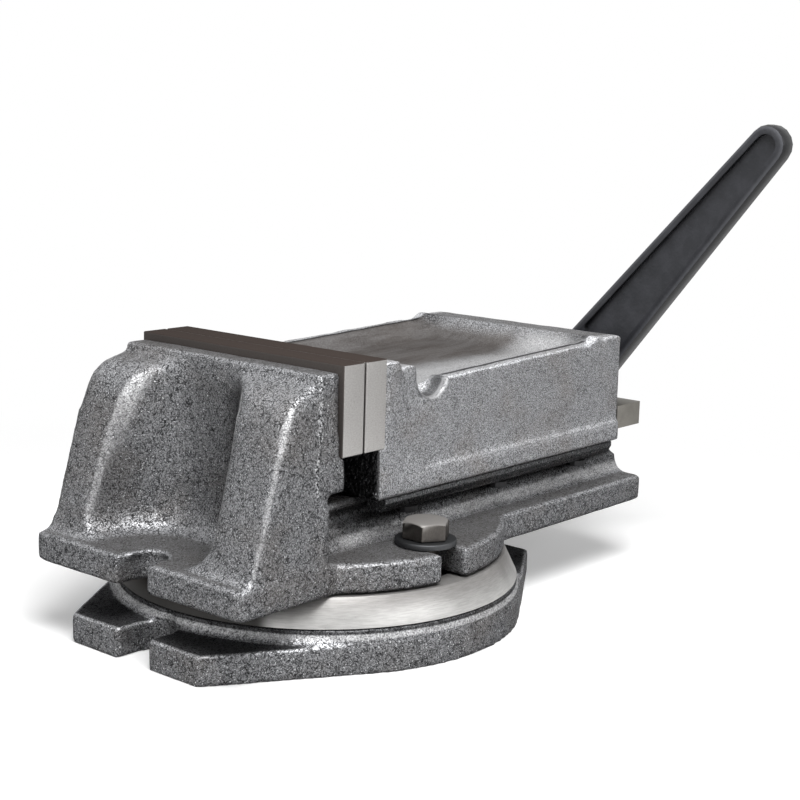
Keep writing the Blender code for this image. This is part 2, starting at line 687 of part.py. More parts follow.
def build_vise_body():
    body = build_foot()
    join(body, build_bed(), build_fixed_jaw())
    inset = FOOT_SLOT_DEPTH - FOOT_SLOT_WIDTH / 2
    for centre_x, direction in ((-FOOT_LEFT + inset, "-X"), (FOOT_RIGHT - inset, "+X")):
        outline = slot_outline(centre_x, 0, FOOT_SLOT_WIDTH / 2, FOOT_SLOT_DEPTH, direction)
        cut(body, prism("foot_slot", outline, FOOT_BOTTOM_Z - OVERSHOOT, BED_TOP_Z + OVERSHOOT, "Z"))
    channel_start = FIXED_SEAT_X + FIXED_LEDGE + CHANNEL_START_GAP
    cut(body, box("channel", (channel_start, -CHANNEL_HALF_WIDTH, CHANNEL_FLOOR_Z),
                  (FOOT_RIGHT - FOOT_SLOT_DEPTH - CAST_EDGE, CHANNEL_HALF_WIDTH, BED_TOP_Z + OVERSHOOT)))
    mouth_start = FOOT_RIGHT - FOOT_SLOT_DEPTH - FOOT_SLOT_WIDTH
    cut(body, box("channel_mouth", (mouth_start, -CHANNEL_HALF_WIDTH, FOOT_TOP_Z),
                  (FOOT_RIGHT + OVERSHOOT, CHANNEL_HALF_WIDTH, BED_TOP_Z + OVERSHOOT)))
    cut(body, round_bar("pivot_bore", PIVOT_RADIUS + TURNING_GAP, FOOT_BOTTOM_Z - OVERSHOOT,
                        FOOT_BOTTOM_Z + PIVOT_REACH + SEAT_GAP, FACETS_MEDIUM))
    for side in (-1, 1):
        centre = (0, side * PLATE_SCREW_Y, plate_screw_z())
        cut(body, round_bar("plate_hole", PLATE_SCREW[0] + SEAT_GAP,
                            FIXED_SEAT_X - PLATE_SCREW_DEPTH - SEAT_GAP,
                            FIXED_SEAT_X + OVERSHOOT, FACETS_SMALL, "X", centre))
        centre = (NUT_CENTRE + side * nut_screw_offset(), 0, 0)
        cut(body, round_bar("nut_hole", NUT_SCREW[0] + SEAT_GAP, CHANNEL_FLOOR_Z - NUT_SCREW_DEPTH - SEAT_GAP,
                            CHANNEL_FLOOR_Z + OVERSHOOT, FACETS_SMALL, "Z", centre))
    return body


def plate_screw_z():
    return PLATE_BOTTOM_Z + PLATE_HEIGHT / 2


def nut_screw_offset():
    return (NUT_LENGTH + NUT_FOOT_LENGTH) / 4


def counterbore(sizes, mouth, seat, end, centre):
    """Tool along X for a hole that takes a cap screw's shank and its sunk head."""
    narrow = sizes[0] + SEAT_GAP
    wide = sizes[1] + SEAT_GAP
    return turned("counterbore", [
        (0, mouth), (wide, mouth), (wide, seat), (narrow, seat), (narrow, end), (0, end),
    ], FACETS_SMALL, "X", centre)


def build_jaw_plate(name, seat_x, face_x):
    """Hard jaw plate with counterbored screw holes that open on its gripping face."""
    low_x, high_x = sorted((seat_x, face_x))
    plate = box(name, (low_x, -JAW_WIDTH / 2, PLATE_BOTTOM_Z), (high_x, JAW_WIDTH / 2, PLATE_TOP_Z))
    round_edges(plate, lambda e: True, PLATE_CHAMFER, 1)
    outward = 1 if face_x > seat_x else -1
    for side in (-1, 1):
        cut(plate, counterbore(PLATE_SCREW, face_x + outward * OVERSHOOT,
                               face_x - outward * COUNTERBORE_DEPTH, seat_x - outward * OVERSHOOT,
                               (0, side * PLATE_SCREW_Y, plate_screw_z())))
    return plate


def movable_side_view():
    """Outline of the movable jaw from the side: front lip, scallop, sloping rail and rear block."""
    scallop_x = MOVABLE_SEAT_X + SCALLOP_BACK
    scallop_z = MOVABLE_TOP_Z - SCALLOP_FLOOR + SCALLOP_RADIUS
    ledge_x = MOVABLE_SEAT_X - MOVABLE_LEDGE
    notch_z = MOVABLE_TOP_Z - FRONT_LIP_DROP
    rail_front_z = MOVABLE_TOP_Z - RAIL_DROP
    rail_back_x = MOVABLE_REAR_X - REAR_LIP_DEPTH - RAIL_STEP
    rail_back_z = rail_front_z + RAIL_RISE
    rear_z = MOVABLE_TOP_Z - REAR_TOP_DROP
    entry = (notch_z - scallop_z) / SCALLOP_RADIUS
    leave = math.asin((rail_front_z - scallop_z) / SCALLOP_RADIUS)
    scallop = arc((scallop_x, scallop_z), SCALLOP_RADIUS, -math.pi, leave, FACETS_SMALL)
    front = rounded_outline([
        (ledge_x, LEDGE_Z, 0), (MOVABLE_SEAT_X, LEDGE_Z, 0), (MOVABLE_SEAT_X, MOVABLE_TOP_Z, 0),
        (MOVABLE_SEAT_X + FRONT_LIP_DEPTH, MOVABLE_TOP_Z, CAST_EDGE),
        (MOVABLE_SEAT_X + FRONT_LIP_DEPTH + 2 * CAST_EDGE, notch_z, CAST_EDGE),
        (scallop[0][0], notch_z, 2 * CAST_EDGE), (scallop[0][0], scallop_z + entry * BURY, 0),
    ])[:-1]
    rear = rounded_outline([
        (scallop[-1][0] + 2 * CAST_EDGE, rail_front_z, 0), (rail_back_x, rail_back_z, 2 * CAST_EDGE),
        (MOVABLE_REAR_X - REAR_LIP_DEPTH, rear_z + REAR_LIP_HEIGHT, CAST_EDGE),
        (MOVABLE_REAR_X - REAR_LIP_DEPTH + 2 * CAST_EDGE, rear_z, CAST_EDGE),
        (MOVABLE_REAR_X, rear_z, CAST_EDGE), (MOVABLE_REAR_X, MOVABLE_BOTTOM_Z, 0),
        (ledge_x, MOVABLE_BOTTOM_Z, 0),
    ])
    return front + scallop + rear


def build_tray_tool():
    """The shallow tray between the rails, as a sloping block with broad rounded edges."""
    front_x = MOVABLE_SEAT_X + SCALLOP_BACK - SCALLOP_RADIUS
    back_x = MOVABLE_REAR_X - REAR_LIP_DEPTH + TRAY_ROUND / 6
    floor = MOVABLE_TOP_Z - SCALLOP_FLOOR
    height = 3 * TRAY_ROUND
    tool = box("tray", (front_x, -TRAY_HALF_WIDTH, floor), (back_x, TRAY_HALF_WIDTH, floor + height))
    round_edges(tool, lambda e: all(v.co.z < floor + BURY for v in e.verts), TRAY_ROUND, 2 * FACETS_ROUND)
    slope = math.atan2(RAIL_RISE, back_x - front_x)
    pivot = Matrix.Translation((front_x, 0, floor))
    tool.data.transform(pivot @ Matrix.Rotation(-slope, 4, "Y") @ pivot.inverted())
    return tool


def build_movable_jaw():
    ledge_x = MOVABLE_SEAT_X - MOVABLE_LEDGE
    jaw = prism("movable_jaw", movable_side_view(), -FLANGE_SIDE, FLANGE_SIDE, "Y")
    panel_bottom = MOVABLE_BOTTOM_Z + FLANGE_HEIGHT - FLANGE_ROUND
    panel_start = MOVABLE_SEAT_X + SIDE_PANEL_START - FLANGE_ROUND
    for side in (-1, 1):
        inner = side * JAW_SIDE
        outer = side * (FLANGE_SIDE + 2 * FLANGE_ROUND)
        low_y, high_y = sorted((inner, outer))
        panel = box("side_panel", (panel_start, low_y, panel_bottom),
                    (MOVABLE_REAR_X + 2 * FLANGE_ROUND, high_y, MOVABLE_TOP_Z + OVERSHOOT))

        def inner_edge(edge, inner=inner):
            on_panel = all(abs(v.co.y - inner) < BURY for v in edge.verts)
            low = all(v.co.z < panel_bottom + BURY for v in edge.verts)
            front = all(v.co.x < panel_start + BURY for v in edge.verts)
            return on_panel and (low or front)

        round_edges(panel, inner_edge, FLANGE_ROUND, FACETS_ROUND)
        cut(jaw, panel)
    cut(jaw, build_tray_tool())
    cut(jaw, box("hollow", (HOLLOW_FRONT_X, -HOLLOW_HALF_WIDTH, MOVABLE_BOTTOM_Z - OVERSHOOT),
                 (HOLLOW_REAR_X, HOLLOW_HALF_WIDTH, MOVABLE_BOTTOM_Z + HOLLOW_HEIGHT)))
    tongue_y = CHANNEL_HALF_WIDTH - SEAT_GAP
    tongue_z = MOVABLE_BOTTOM_Z - TONGUE_DEPTH
    for low_x, high_x in ((HOLLOW_FRONT_X - BURY - TONGUE_FRONT_LENGTH, HOLLOW_FRONT_X - BURY),
                          (HOLLOW_REAR_X + BURY, HOLLOW_REAR_X + BURY + TONGUE_REAR_LENGTH)):
        join(jaw, box("tongue", (low_x, -tongue_y, tongue_z), (high_x, tongue_y, MOVABLE_BOTTOM_Z + BURY)))
    cut(jaw, round_bar("screw_hole", SCREW_RADIUS + PASSING_GAP, HOLLOW_REAR_X - OVERSHOOT,
                       MOVABLE_REAR_X + OVERSHOOT, FACETS_MEDIUM, "X", (0, 0, SCREW_Z)))
    for side in (-1, 1):
        centre = (0, side * PLATE_SCREW_Y, plate_screw_z())
        cut(jaw, round_bar("plate_hole", PLATE_SCREW[0] + SEAT_GAP, MOVABLE_SEAT_X - OVERSHOOT,
                           MOVABLE_SEAT_X + PLATE_SCREW_DEPTH + SEAT_GAP, FACETS_SMALL, "X", centre))
        centre = (0, side * BEARING_SCREW_Y, SCREW_Z)
        cut(jaw, round_bar("bearing_hole", BEARING_SCREW[0] + SEAT_GAP,
                           MOVABLE_REAR_X - BEARING_SCREW_DEPTH - SEAT_GAP,
                           MOVABLE_REAR_X + OVERSHOOT, FACETS_SMALL, "X", centre))
        for x in keeper_screw_places():
            centre = (x, side * KEEPER_SCREW_Y, 0)
            cut(jaw, round_bar("keeper_hole", KEEPER_SCREW[0] + SEAT_GAP, MOVABLE_BOTTOM_Z - OVERSHOOT,
                               MOVABLE_BOTTOM_Z + KEEPER_SCREW_DEPTH + SEAT_GAP, FACETS_SMALL, "Z", centre))
    return jaw


def keeper_screw_places():
    middle = (MOVABLE_SEAT_X - MOVABLE_LEDGE + MOVABLE_REAR_X) / 2
    first = middle - KEEPER_SCREW_PITCH * (KEEPER_SCREW_COUNT - 1) / 2
    return [first + KEEPER_SCREW_PITCH * index for index in range(KEEPER_SCREW_COUNT)]


def build_keeper(name, side):
    """Strip bolted under the jaw's flange, with a step that hooks under the bed's lip."""
    lip_under = BED_TOP_Z - BED_LIP - SEAT_GAP
    inner = BED_HALF_WIDTH + SEAT_GAP
    hook = BED_HALF_WIDTH - KEEPER_REACH
    section = [(KEEPER_HALF_SPAN, KEEPER_BOTTOM_Z), (KEEPER_HALF_SPAN, KEEPER_TOP_Z), (inner, KEEPER_TOP_Z),
               (inner, lip_under), (hook, lip_under), (hook, KEEPER_BOTTOM_Z)]
    section = [(side * y, z) for y, z in section]
    start = MOVABLE_SEAT_X + KEEPER_END_INSET
    end = MOVABLE_REAR_X - KEEPER_END_INSET
    keeper = prism(name, section, start, end, "X")
    for x in keeper_screw_places():
        cut(keeper, round_bar("hole", KEEPER_SCREW[0] + SEAT_GAP, KEEPER_BOTTOM_Z - OVERSHOOT,
                              KEEPER_TOP_Z + OVERSHOOT, FACETS_SMALL, "Z", (x, side * KEEPER_SCREW_Y, 0)))
    return keeper


def build_thread(low, high):
    """Trapezoidal thread: one pitch of the flank profile swept along a helix, then cut to length."""
    root = SCREW_RADIUS - THREAD_DEPTH
    flat = THREAD_PITCH * THREAD_FLAT
    flank = (THREAD_PITCH - 2 * flat) / 2
    turns = math.ceil((high - low) / THREAD_PITCH) + 2
    steps = THREAD_SEGMENTS * turns
    shape = bmesh.new()
    heights = [(root, 0), (root, flat), (SCREW_RADIUS, flat + flank), (SCREW_RADIUS, 2 * flat + flank),
               (root, THREAD_PITCH)]
    profile = [shape.verts.new((radius, 0, height)) for radius, height in heights]
    edges = [shape.edges.new(pair) for pair in zip(profile, profile[1:])]
    bmesh.ops.spin(
        shape, geom=profile + edges, cent=(0, 0, 0), axis=(0, 0, 1), angle=math.tau * turns, steps=steps,
        dvec=(0, 0, THREAD_PITCH / THREAD_SEGMENTS), use_duplicate=False,
    )
    bmesh.ops.remove_doubles(shape, verts=shape.verts, dist=WELD)
    boundary = [edge for edge in shape.edges if edge.is_boundary]
    ends = (0, THREAD_PITCH * (turns + 1))
    for end in ends:
        ring = [e for e in boundary if all(abs(v.co.z - end) <= THREAD_PITCH * 1.01 for v in e.verts)]
        centre = shape.verts.new((0, 0, end))
        for edge in ring:
            shape.faces.new((edge.verts[0], edge.verts[1], centre))
    place = Matrix.Translation((low - THREAD_PITCH, 0, SCREW_Z)) @ AXIS_FRAMES["X"]
    shape.transform(place @ Matrix.Rotation(THREAD_START, 4, "Z"))
    thread = from_bmesh("thread", shape)
    trim = round_bar("trim", 2 * SCREW_RADIUS, low, high, FACETS_SMALL, "X", (0, 0, SCREW_Z))
    return combine(thread, trim, "INTERSECT")


def build_lead_screw():
    start = HOLLOW_FRONT_X + SCREW_FRONT_CLEAR
    thread_end = HOLLOW_REAR_X - THREAD_RUNOUT
    shoulder = BEARING_FRONT_X - SEAT_GAP
    groove = NECK_RADIUS - RING_GROOVE_DEPTH
    ring_end = RING_FRONT_X + RETAINING_RING_THICKNESS
    core = SCREW_RADIUS - THREAD_DEPTH - BURY / 2
    shaft = turned("lead_screw", [
        (0, SQUARE_FRONT_X), (NECK_RADIUS, SQUARE_FRONT_X), (NECK_RADIUS, ring_end + SEAT_GAP / 2),
        (groove, ring_end + SEAT_GAP / 2), (groove, RING_FRONT_X - SEAT_GAP / 2),
        (NECK_RADIUS, RING_FRONT_X - SEAT_GAP / 2), (NECK_RADIUS, shoulder), (SCREW_RADIUS, shoulder),
        (SCREW_RADIUS, thread_end + 2 * THREAD_RELIEF), (core, thread_end + THREAD_RELIEF),
        (core, thread_end - OVERSHOOT), (0, thread_end - OVERSHOOT),
    ], FACETS_MEDIUM, "X", (0, 0, SCREW_Z))
    half = SQUARE_SIZE / 2
    square = box("square", (SQUARE_FRONT_X - SEAT_GAP, -half, SCREW_Z - half),
                 (SQUARE_FRONT_X + SQUARE_LENGTH, half, SCREW_Z + half))
    round_edges(square, lambda e: all(v.co.x > SQUARE_FRONT_X for v in e.verts), SQUARE_CHAMFER, 1)
    return join(shaft, square, build_thread(start, thread_end))


def build_lead_nut():
    half = CHANNEL_HALF_WIDTH - SEAT_GAP
    bottom = CHANNEL_FLOOR_Z + SEAT_GAP
    top = SCREW_Z + SCREW_RADIUS + NUT_WALL
    foot_top = bottom + NUT_FOOT_HEIGHT
    fillet = 2 * CAST_EDGE
    side_view = rounded_outline([
        (NUT_CENTRE - NUT_FOOT_LENGTH / 2, bottom, 0), (NUT_CENTRE + NUT_FOOT_LENGTH / 2, bottom, 0),
        (NUT_CENTRE + NUT_FOOT_LENGTH / 2, foot_top, 0), (NUT_CENTRE + NUT_LENGTH / 2, foot_top, fillet),
        (NUT_CENTRE + NUT_LENGTH / 2, top, CAST_EDGE), (NUT_CENTRE - NUT_LENGTH / 2, top, CAST_EDGE),
        (NUT_CENTRE - NUT_LENGTH / 2, foot_top, fillet), (NUT_CENTRE - NUT_FOOT_LENGTH / 2, foot_top, 0),
    ])
    nut = prism("lead_nut", side_view, -half, half, "Y")
    cut(nut, round_bar("thread_bore", SCREW_RADIUS + SEAT_GAP, -NUT_LENGTH, NUT_LENGTH,
                       FACETS_MEDIUM, "X", (NUT_CENTRE, 0, SCREW_Z)))
    for side in (-1, 1):
        centre = (NUT_CENTRE + side * nut_screw_offset(), 0, 0)
        cut(nut, round_bar("hole", NUT_SCREW[0] + SEAT_GAP, bottom - OVERSHOOT,
                           foot_top + OVERSHOOT, FACETS_SMALL, "Z", centre))
    return nut


def build_bearing_plate():
    """Cross bar behind the movable jaw, with a taller middle that carries the screw's neck."""
    wing = BEARING_WING_HEIGHT / 2
    boss_bottom = BED_TOP_Z + 2 * SEAT_GAP
    boss_top = SCREW_Z + BEARING_BOSS_RISE
    corner = CAST_EDGE
    end_view = rounded_outline([
        (-BEARING_WING_HALF_SPAN, SCREW_Z - wing, 0), (-BEARING_BOSS_HALF_WIDTH, SCREW_Z - wing, corner),
        (-BEARING_BOSS_HALF_WIDTH, boss_bottom, 0), (BEARING_BOSS_HALF_WIDTH, boss_bottom, 0),
        (BEARING_BOSS_HALF_WIDTH, SCREW_Z - wing, corner), (BEARING_WING_HALF_SPAN, SCREW_Z - wing, 0),
        (BEARING_WING_HALF_SPAN, SCREW_Z + wing, 0), (BEARING_BOSS_HALF_WIDTH, SCREW_Z + wing, 2 * corner),
        (BEARING_BOSS_HALF_WIDTH, boss_top, 4 * corner), (-BEARING_BOSS_HALF_WIDTH, boss_top, 4 * corner),
        (-BEARING_BOSS_HALF_WIDTH, SCREW_Z + wing, 2 * corner), (-BEARING_WING_HALF_SPAN, SCREW_Z + wing, 0),
    ])
    plate = prism("bearing_plate", end_view, BEARING_FRONT_X, BEARING_REAR_X, "X")
    cut(plate, round_bar("neck_bore", NECK_RADIUS + TURNING_GAP, BEARING_FRONT_X - OVERSHOOT,
                         BEARING_REAR_X + OVERSHOOT, FACETS_MEDIUM, "X", (0, 0, SCREW_Z)))
    for side in (-1, 1):
        cut(plate, counterbore(BEARING_SCREW, BEARING_REAR_X + OVERSHOOT, bearing_head_x(),
                               BEARING_FRONT_X - OVERSHOOT, (0, side * BEARING_SCREW_Y, SCREW_Z)))
    return plate


def bearing_head_x():
    """Floor of the counterbore in the bearing plate's wings."""
    return BEARING_REAR_X - BEARING_SCREW[2] - PASSING_GAP


def build_thrust_washer():
    back = WASHER_FRONT_X + THRUST_WASHER_THICKNESS
    bore = NECK_RADIUS + SEAT_GAP
    return turned("thrust_washer", [
        (THRUST_WASHER_RADIUS, back), (THRUST_WASHER_RADIUS, WASHER_FRONT_X),
        (bore, WASHER_FRONT_X), (bore, back),
    ], FACETS_MEDIUM, "X", (0, 0, SCREW_Z))


def build_retaining_ring():
    """Open spring ring that snaps into the groove of the neck."""
    back = RING_FRONT_X + RETAINING_RING_THICKNESS
    bore = NECK_RADIUS - RING_GROOVE_DEPTH + SEAT_GAP
    ring = turned("retaining_ring", [
        (RETAINING_RING_RADIUS, back), (RETAINING_RING_RADIUS, RING_FRONT_X),
        (bore, RING_FRONT_X), (bore, back),
    ], FACETS_MEDIUM, "X", (0, 0, SCREW_Z))
    mouth_low = SCREW_Z - 2 * RETAINING_RING_RADIUS
    return cut(ring, box("ring_mouth", (RING_FRONT_X - OVERSHOOT, -RING_HALF_MOUTH, mouth_low),
                         (back + OVERSHOOT, RING_HALF_MOUTH, SCREW_Z)))


def handle_outline(shrink, start):
    """Tapered lever from the hub, or its inner web when shrunk, in the handle's own plane."""
    taper = math.asin((HANDLE_HUB_RADIUS - HANDLE_TIP_RADIUS) / HANDLE_REACH)
    tip_radius = HANDLE_TIP_RADIUS - shrink
    tip = arc((0, HANDLE_REACH), tip_radius, taper, math.pi - taper, FACETS_MEDIUM // 4)
    if start <= 0:
        return tip + arc((0, 0), HANDLE_HUB_RADIUS, math.pi - taper, math.tau + taper, FACETS_MEDIUM // 2)
    wide = (HANDLE_HUB_RADIUS - shrink) / math.cos(taper) - start * math.tan(taper)
    return tip + rounded_outline([(-wide, start, 2 * CAST_EDGE), (wide, start, 2 * CAST_EDGE),
                                  (tip[0][0], tip[0][1], 0), (tip[-1][0], tip[-1][1], 0)])[:-2]


def build_crank_handle():
    front = SQUARE_FRONT_X
    lever = prism("crank_handle", handle_outline(0, 0), front, front + HANDLE_THICKNESS, "X")
    faces = (front, front + HANDLE_THICKNESS)
    round_edges(lever, lambda e: any(all(abs(v.co.x - face) < BURY for v in e.verts) for face in faces),
                HANDLE_EDGE_ROUND, EDGE_SEGMENTS)
    web = handle_outline(HANDLE_RIM, HANDLE_WEB_START)
    cut(lever, prism("front_web", web, front - OVERSHOOT, front + HANDLE_WEB_SINK, "X"))
    cut(lever, prism("back_web", web, front + HANDLE_THICKNESS - HANDLE_WEB_SINK,
                     front + HANDLE_THICKNESS + OVERSHOOT, "X"))
    join(lever, round_bar("hub", HANDLE_HUB_RADIUS - HANDLE_EDGE_ROUND / 2, front + HANDLE_EDGE_ROUND,
                          front + HANDLE_HUB_LENGTH, FACETS_MEDIUM, "X"))
    lever.data.transform(Matrix.Rotation(HANDLE_LEAN, 4, "X"))
    half = SQUARE_SIZE / 2 + SEAT_GAP
    cut(lever, box("socket", (front - OVERSHOOT, -half, -half),
                   (front + HANDLE_HUB_LENGTH + OVERSHOOT, half, half)))
    lever.data.transform(Matrix.Translation((0, 0, SCREW_Z)))
    return lever


def build_clamp_bolt():
    """Hexagon bolt, standing on its head's seat at z = 0, with its shank downwards."""
    head = hexagon("clamp_bolt", CLAMP_HEX, 0, CLAMP_HEAD)
    flat = CLAMP_HEX / 2 - CLAMP_CHAMFER / 4
    wide = flat + 3 * CLAMP_CHAMFER
    crown = turned("crown", [
        (0, CLAMP_HEAD), (flat, CLAMP_HEAD), (wide, CLAMP_HEAD - 2 * CLAMP_CHAMFER), (wide, -OVERSHOOT),
        (0, -OVERSHOOT),
    ], FACETS_MEDIUM)
    combine(head, crown, "INTERSECT")
    length = clamp_seat_z() - clamp_nut_bottom_z() - CLAMP_WASHER_THICKNESS / 2
    shank = turned("shank", [
        (0, BURY), (CLAMP_RADIUS, BURY), (CLAMP_RADIUS, -length + CLAMP_CHAMFER),
        (CLAMP_RADIUS - CLAMP_CHAMFER, -length), (0, -length),
    ], FACETS_MEDIUM // 2)
    return join(head, shank)


def clamp_washer_z():
    return FOOT_TOP_Z + SEAT_GAP


def clamp_seat_z():
    return clamp_washer_z() + CLAMP_WASHER_THICKNESS + SEAT_GAP


def clamp_nut_top_z():
    return BASE_TOP_Z - RING_SLOT_LIP - SEAT_GAP


def clamp_nut_bottom_z():
    return clamp_nut_top_z() - CLAMP_NUT_HEIGHT


def build_clamp_washer():
    bore = CLAMP_RADIUS + 2 * SEAT_GAP
    top = CLAMP_WASHER_THICKNESS
    edge = CLAMP_WASHER_THICKNESS / 6
    return turned("clamp_washer", [
        (CLAMP_WASHER_RADIUS - edge, top), (CLAMP_WASHER_RADIUS, top - edge), (CLAMP_WASHER_RADIUS, 0),
        (bore, 0), (bore, top),
    ], FACETS_MEDIUM)


def build_clamp_nut():
    """Nut block in the ring slot's undercut, with a neck that rises between the lips."""
    half_deep = RING_SLOT_WIDTH / 2 + RING_SLOT_UNDERCUT - CLAMP_NUT_SIDE_GAP - SEAT_GAP
    half_long = CLAMP_NUT_HALF_LENGTH
    block = box("clamp_nut", (-half_long, -half_deep, 0), (half_long, half_deep, CLAMP_NUT_HEIGHT))
    neck = RING_SLOT_WIDTH / 2 - CLAMP_NUT_SIDE_GAP
    top = CLAMP_NUT_HEIGHT + RING_SLOT_LIP / 2
    join(block, box("neck", (-half_long + BURY, -neck, CLAMP_NUT_HEIGHT - BURY),
                    (half_long - BURY, neck, top)))
    bore = CLAMP_RADIUS + SEAT_GAP
    return cut(block, round_bar("bore", bore, -OVERSHOOT, top + OVERSHOOT, FACETS_MEDIUM // 2))


def build_socket_screw(name, sizes, length):
    """Cap screw with its seat at z = 0, head up and shank down, and a hexagon socket."""
    shank, head, height, across, depth = sizes
    edge = height / 12
    screw = turned(name, [
        (0, height), (head - edge, height), (head, height - edge), (head, 0), (shank, 0),
        (shank, -length + edge), (shank - edge, -length), (0, -length),
    ], FACETS_SMALL)
    return cut(screw, hexagon("socket", across, height - depth, height + OVERSHOOT))


def add_copies(source, entries, material, collection):
    """Turn a modelled piece into several named objects that share its mesh."""
    mesh = source.data
    shade(mesh, material)
    bpy.data.objects.remove(source)
    for name, location, parent, turn in entries:
        place_copy(name, mesh, collection, location, parent, turn)


def main():
    clear_scene()
    parts = make_collection("machine_vise")
    casting = make_material("hammertone_casting", (0.17, 0.17, 0.175), 0.42, 0.35)
    ground = make_material("ground_steel", (0.42, 0.41, 0.40), 0.28, 0.9)
    dark = make_material("oiled_steel", (0.13, 0.12, 0.11), 0.35, 0.9)
    bronze = make_material("nut_bronze", (0.45, 0.30, 0.12), 0.35, 0.9)
    enamel = make_material("black_enamel", (0.035, 0.037, 0.042), 0.38, 0.0)

    finish(build_swivel_base(), casting, parts)
    finish(build_pivot_pin(), dark, parts)

    body = finish(build_vise_body(), casting, parts)
    plate_z = plate_screw_z()
    fixed_face = JAW_CENTRE_X - CLOSED_GAP / 2
    fixed_back = fixed_face - PLATE_THICKNESS
    fixed_plate = build_jaw_plate("fixed_jaw_plate", fixed_back, fixed_face)
    finish(fixed_plate, ground, parts, (fixed_face, 0, 0), body)
    finish(build_lead_nut(), bronze, parts, (NUT_CENTRE, 0, SCREW_Z), body)

    movable_face = JAW_CENTRE_X + CLOSED_GAP / 2
    movable_back = movable_face + PLATE_THICKNESS
    jaw = finish(build_movable_jaw(), casting, parts, (movable_face, 0, 0))
    movable_plate = build_jaw_plate("movable_jaw_plate", movable_back, movable_face)
    finish(movable_plate, ground, parts, (movable_face, 0, 0), jaw)
    finish(build_keeper("near_keeper", -1), dark, parts, (movable_face, 0, 0), jaw)
    finish(build_keeper("far_keeper", 1), dark, parts, (movable_face, 0, 0), jaw)
    finish(build_bearing_plate(), ground, parts, (BEARING_FRONT_X, 0, SCREW_Z), jaw)

    screw = finish(build_lead_screw(), ground, parts, (BEARING_FRONT_X, 0, SCREW_Z))
    finish(build_thrust_washer(), bronze, parts, (WASHER_FRONT_X, 0, SCREW_Z), screw)
    finish(build_retaining_ring(), dark, parts, (RING_FRONT_X, 0, SCREW_Z), screw)
    finish(build_crank_handle(), enamel, parts, (SQUARE_FRONT_X, 0, SCREW_Z), screw)

    quarter = math.pi / 2
    sides = (("near", -1), ("far", 1))
    clamp_turn = {side: (0, 0, math.atan2(EAR_SLOT_X, CLAMP_Y) * -side) for _, side in sides}
    add_copies(build_clamp_washer(), [
        (f"{word}_clamp_washer", (EAR_SLOT_X, side * CLAMP_Y, clamp_washer_z()), body, None)
        for word, side in sides], dark, parts)
    add_copies(build_clamp_bolt(), [
        (f"{word}_clamp_bolt", (EAR_SLOT_X, side * CLAMP_Y, clamp_seat_z()), body, None)
        for word, side in sides], dark, parts)
    add_copies(build_clamp_nut(), [
        (f"{word}_clamp_nut", (EAR_SLOT_X, side * CLAMP_Y, clamp_nut_bottom_z()), body, clamp_turn[side])
        for word, side in sides], dark, parts)

    head_inset = COUNTERBORE_DEPTH - SEAT_GAP
    length = PLATE_THICKNESS - COUNTERBORE_DEPTH + PLATE_SCREW_DEPTH
    fixed_x = fixed_face - head_inset
    movable_x = movable_face + head_inset
    add_copies(build_socket_screw("plate_screw", PLATE_SCREW, length), [
        (f"{word}_fixed_plate_screw", (fixed_x, side * PLATE_SCREW_Y, plate_z), body, (0, quarter, 0))
        for word, side in sides] + [
        (f"{word}_movable_plate_screw", (movable_x, side * PLATE_SCREW_Y, plate_z), jaw, (0, -quarter, 0))
        for word, side in sides], dark, parts)

    nut_seat = CHANNEL_FLOOR_Z + NUT_FOOT_HEIGHT + 2 * SEAT_GAP
    add_copies(build_socket_screw("nut_screw", NUT_SCREW, NUT_FOOT_HEIGHT + NUT_SCREW_DEPTH), [
        (f"{word}_nut_screw", (NUT_CENTRE + side * nut_screw_offset(), 0, nut_seat), body, None)
        for word, side in (("front", -1), ("rear", 1))], dark, parts)

    keeper_seat = KEEPER_BOTTOM_Z - SEAT_GAP
    add_copies(build_socket_screw("keeper_screw", KEEPER_SCREW, KEEPER_DEPTH + KEEPER_SCREW_DEPTH), [
        (f"{word}_keeper_screw_{index + 1}", (x, side * KEEPER_SCREW_Y, keeper_seat), jaw, (math.pi, 0, 0))
        for word, side in sides for index, x in enumerate(keeper_screw_places())], dark, parts)

    bearing_seat = bearing_head_x() + SEAT_GAP
    length = bearing_seat - BEARING_FRONT_X + BEARING_SCREW_DEPTH
    add_copies(build_socket_screw("bearing_screw", BEARING_SCREW, length), [
        (f"{word}_bearing_screw", (bearing_seat, side * BEARING_SCREW_Y, SCREW_Z), jaw, (0, quarter, 0))
        for word, side in sides], dark, parts)


main()
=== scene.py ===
import json
import math

import bmesh
import bpy
from mathutils import Matrix, Vector

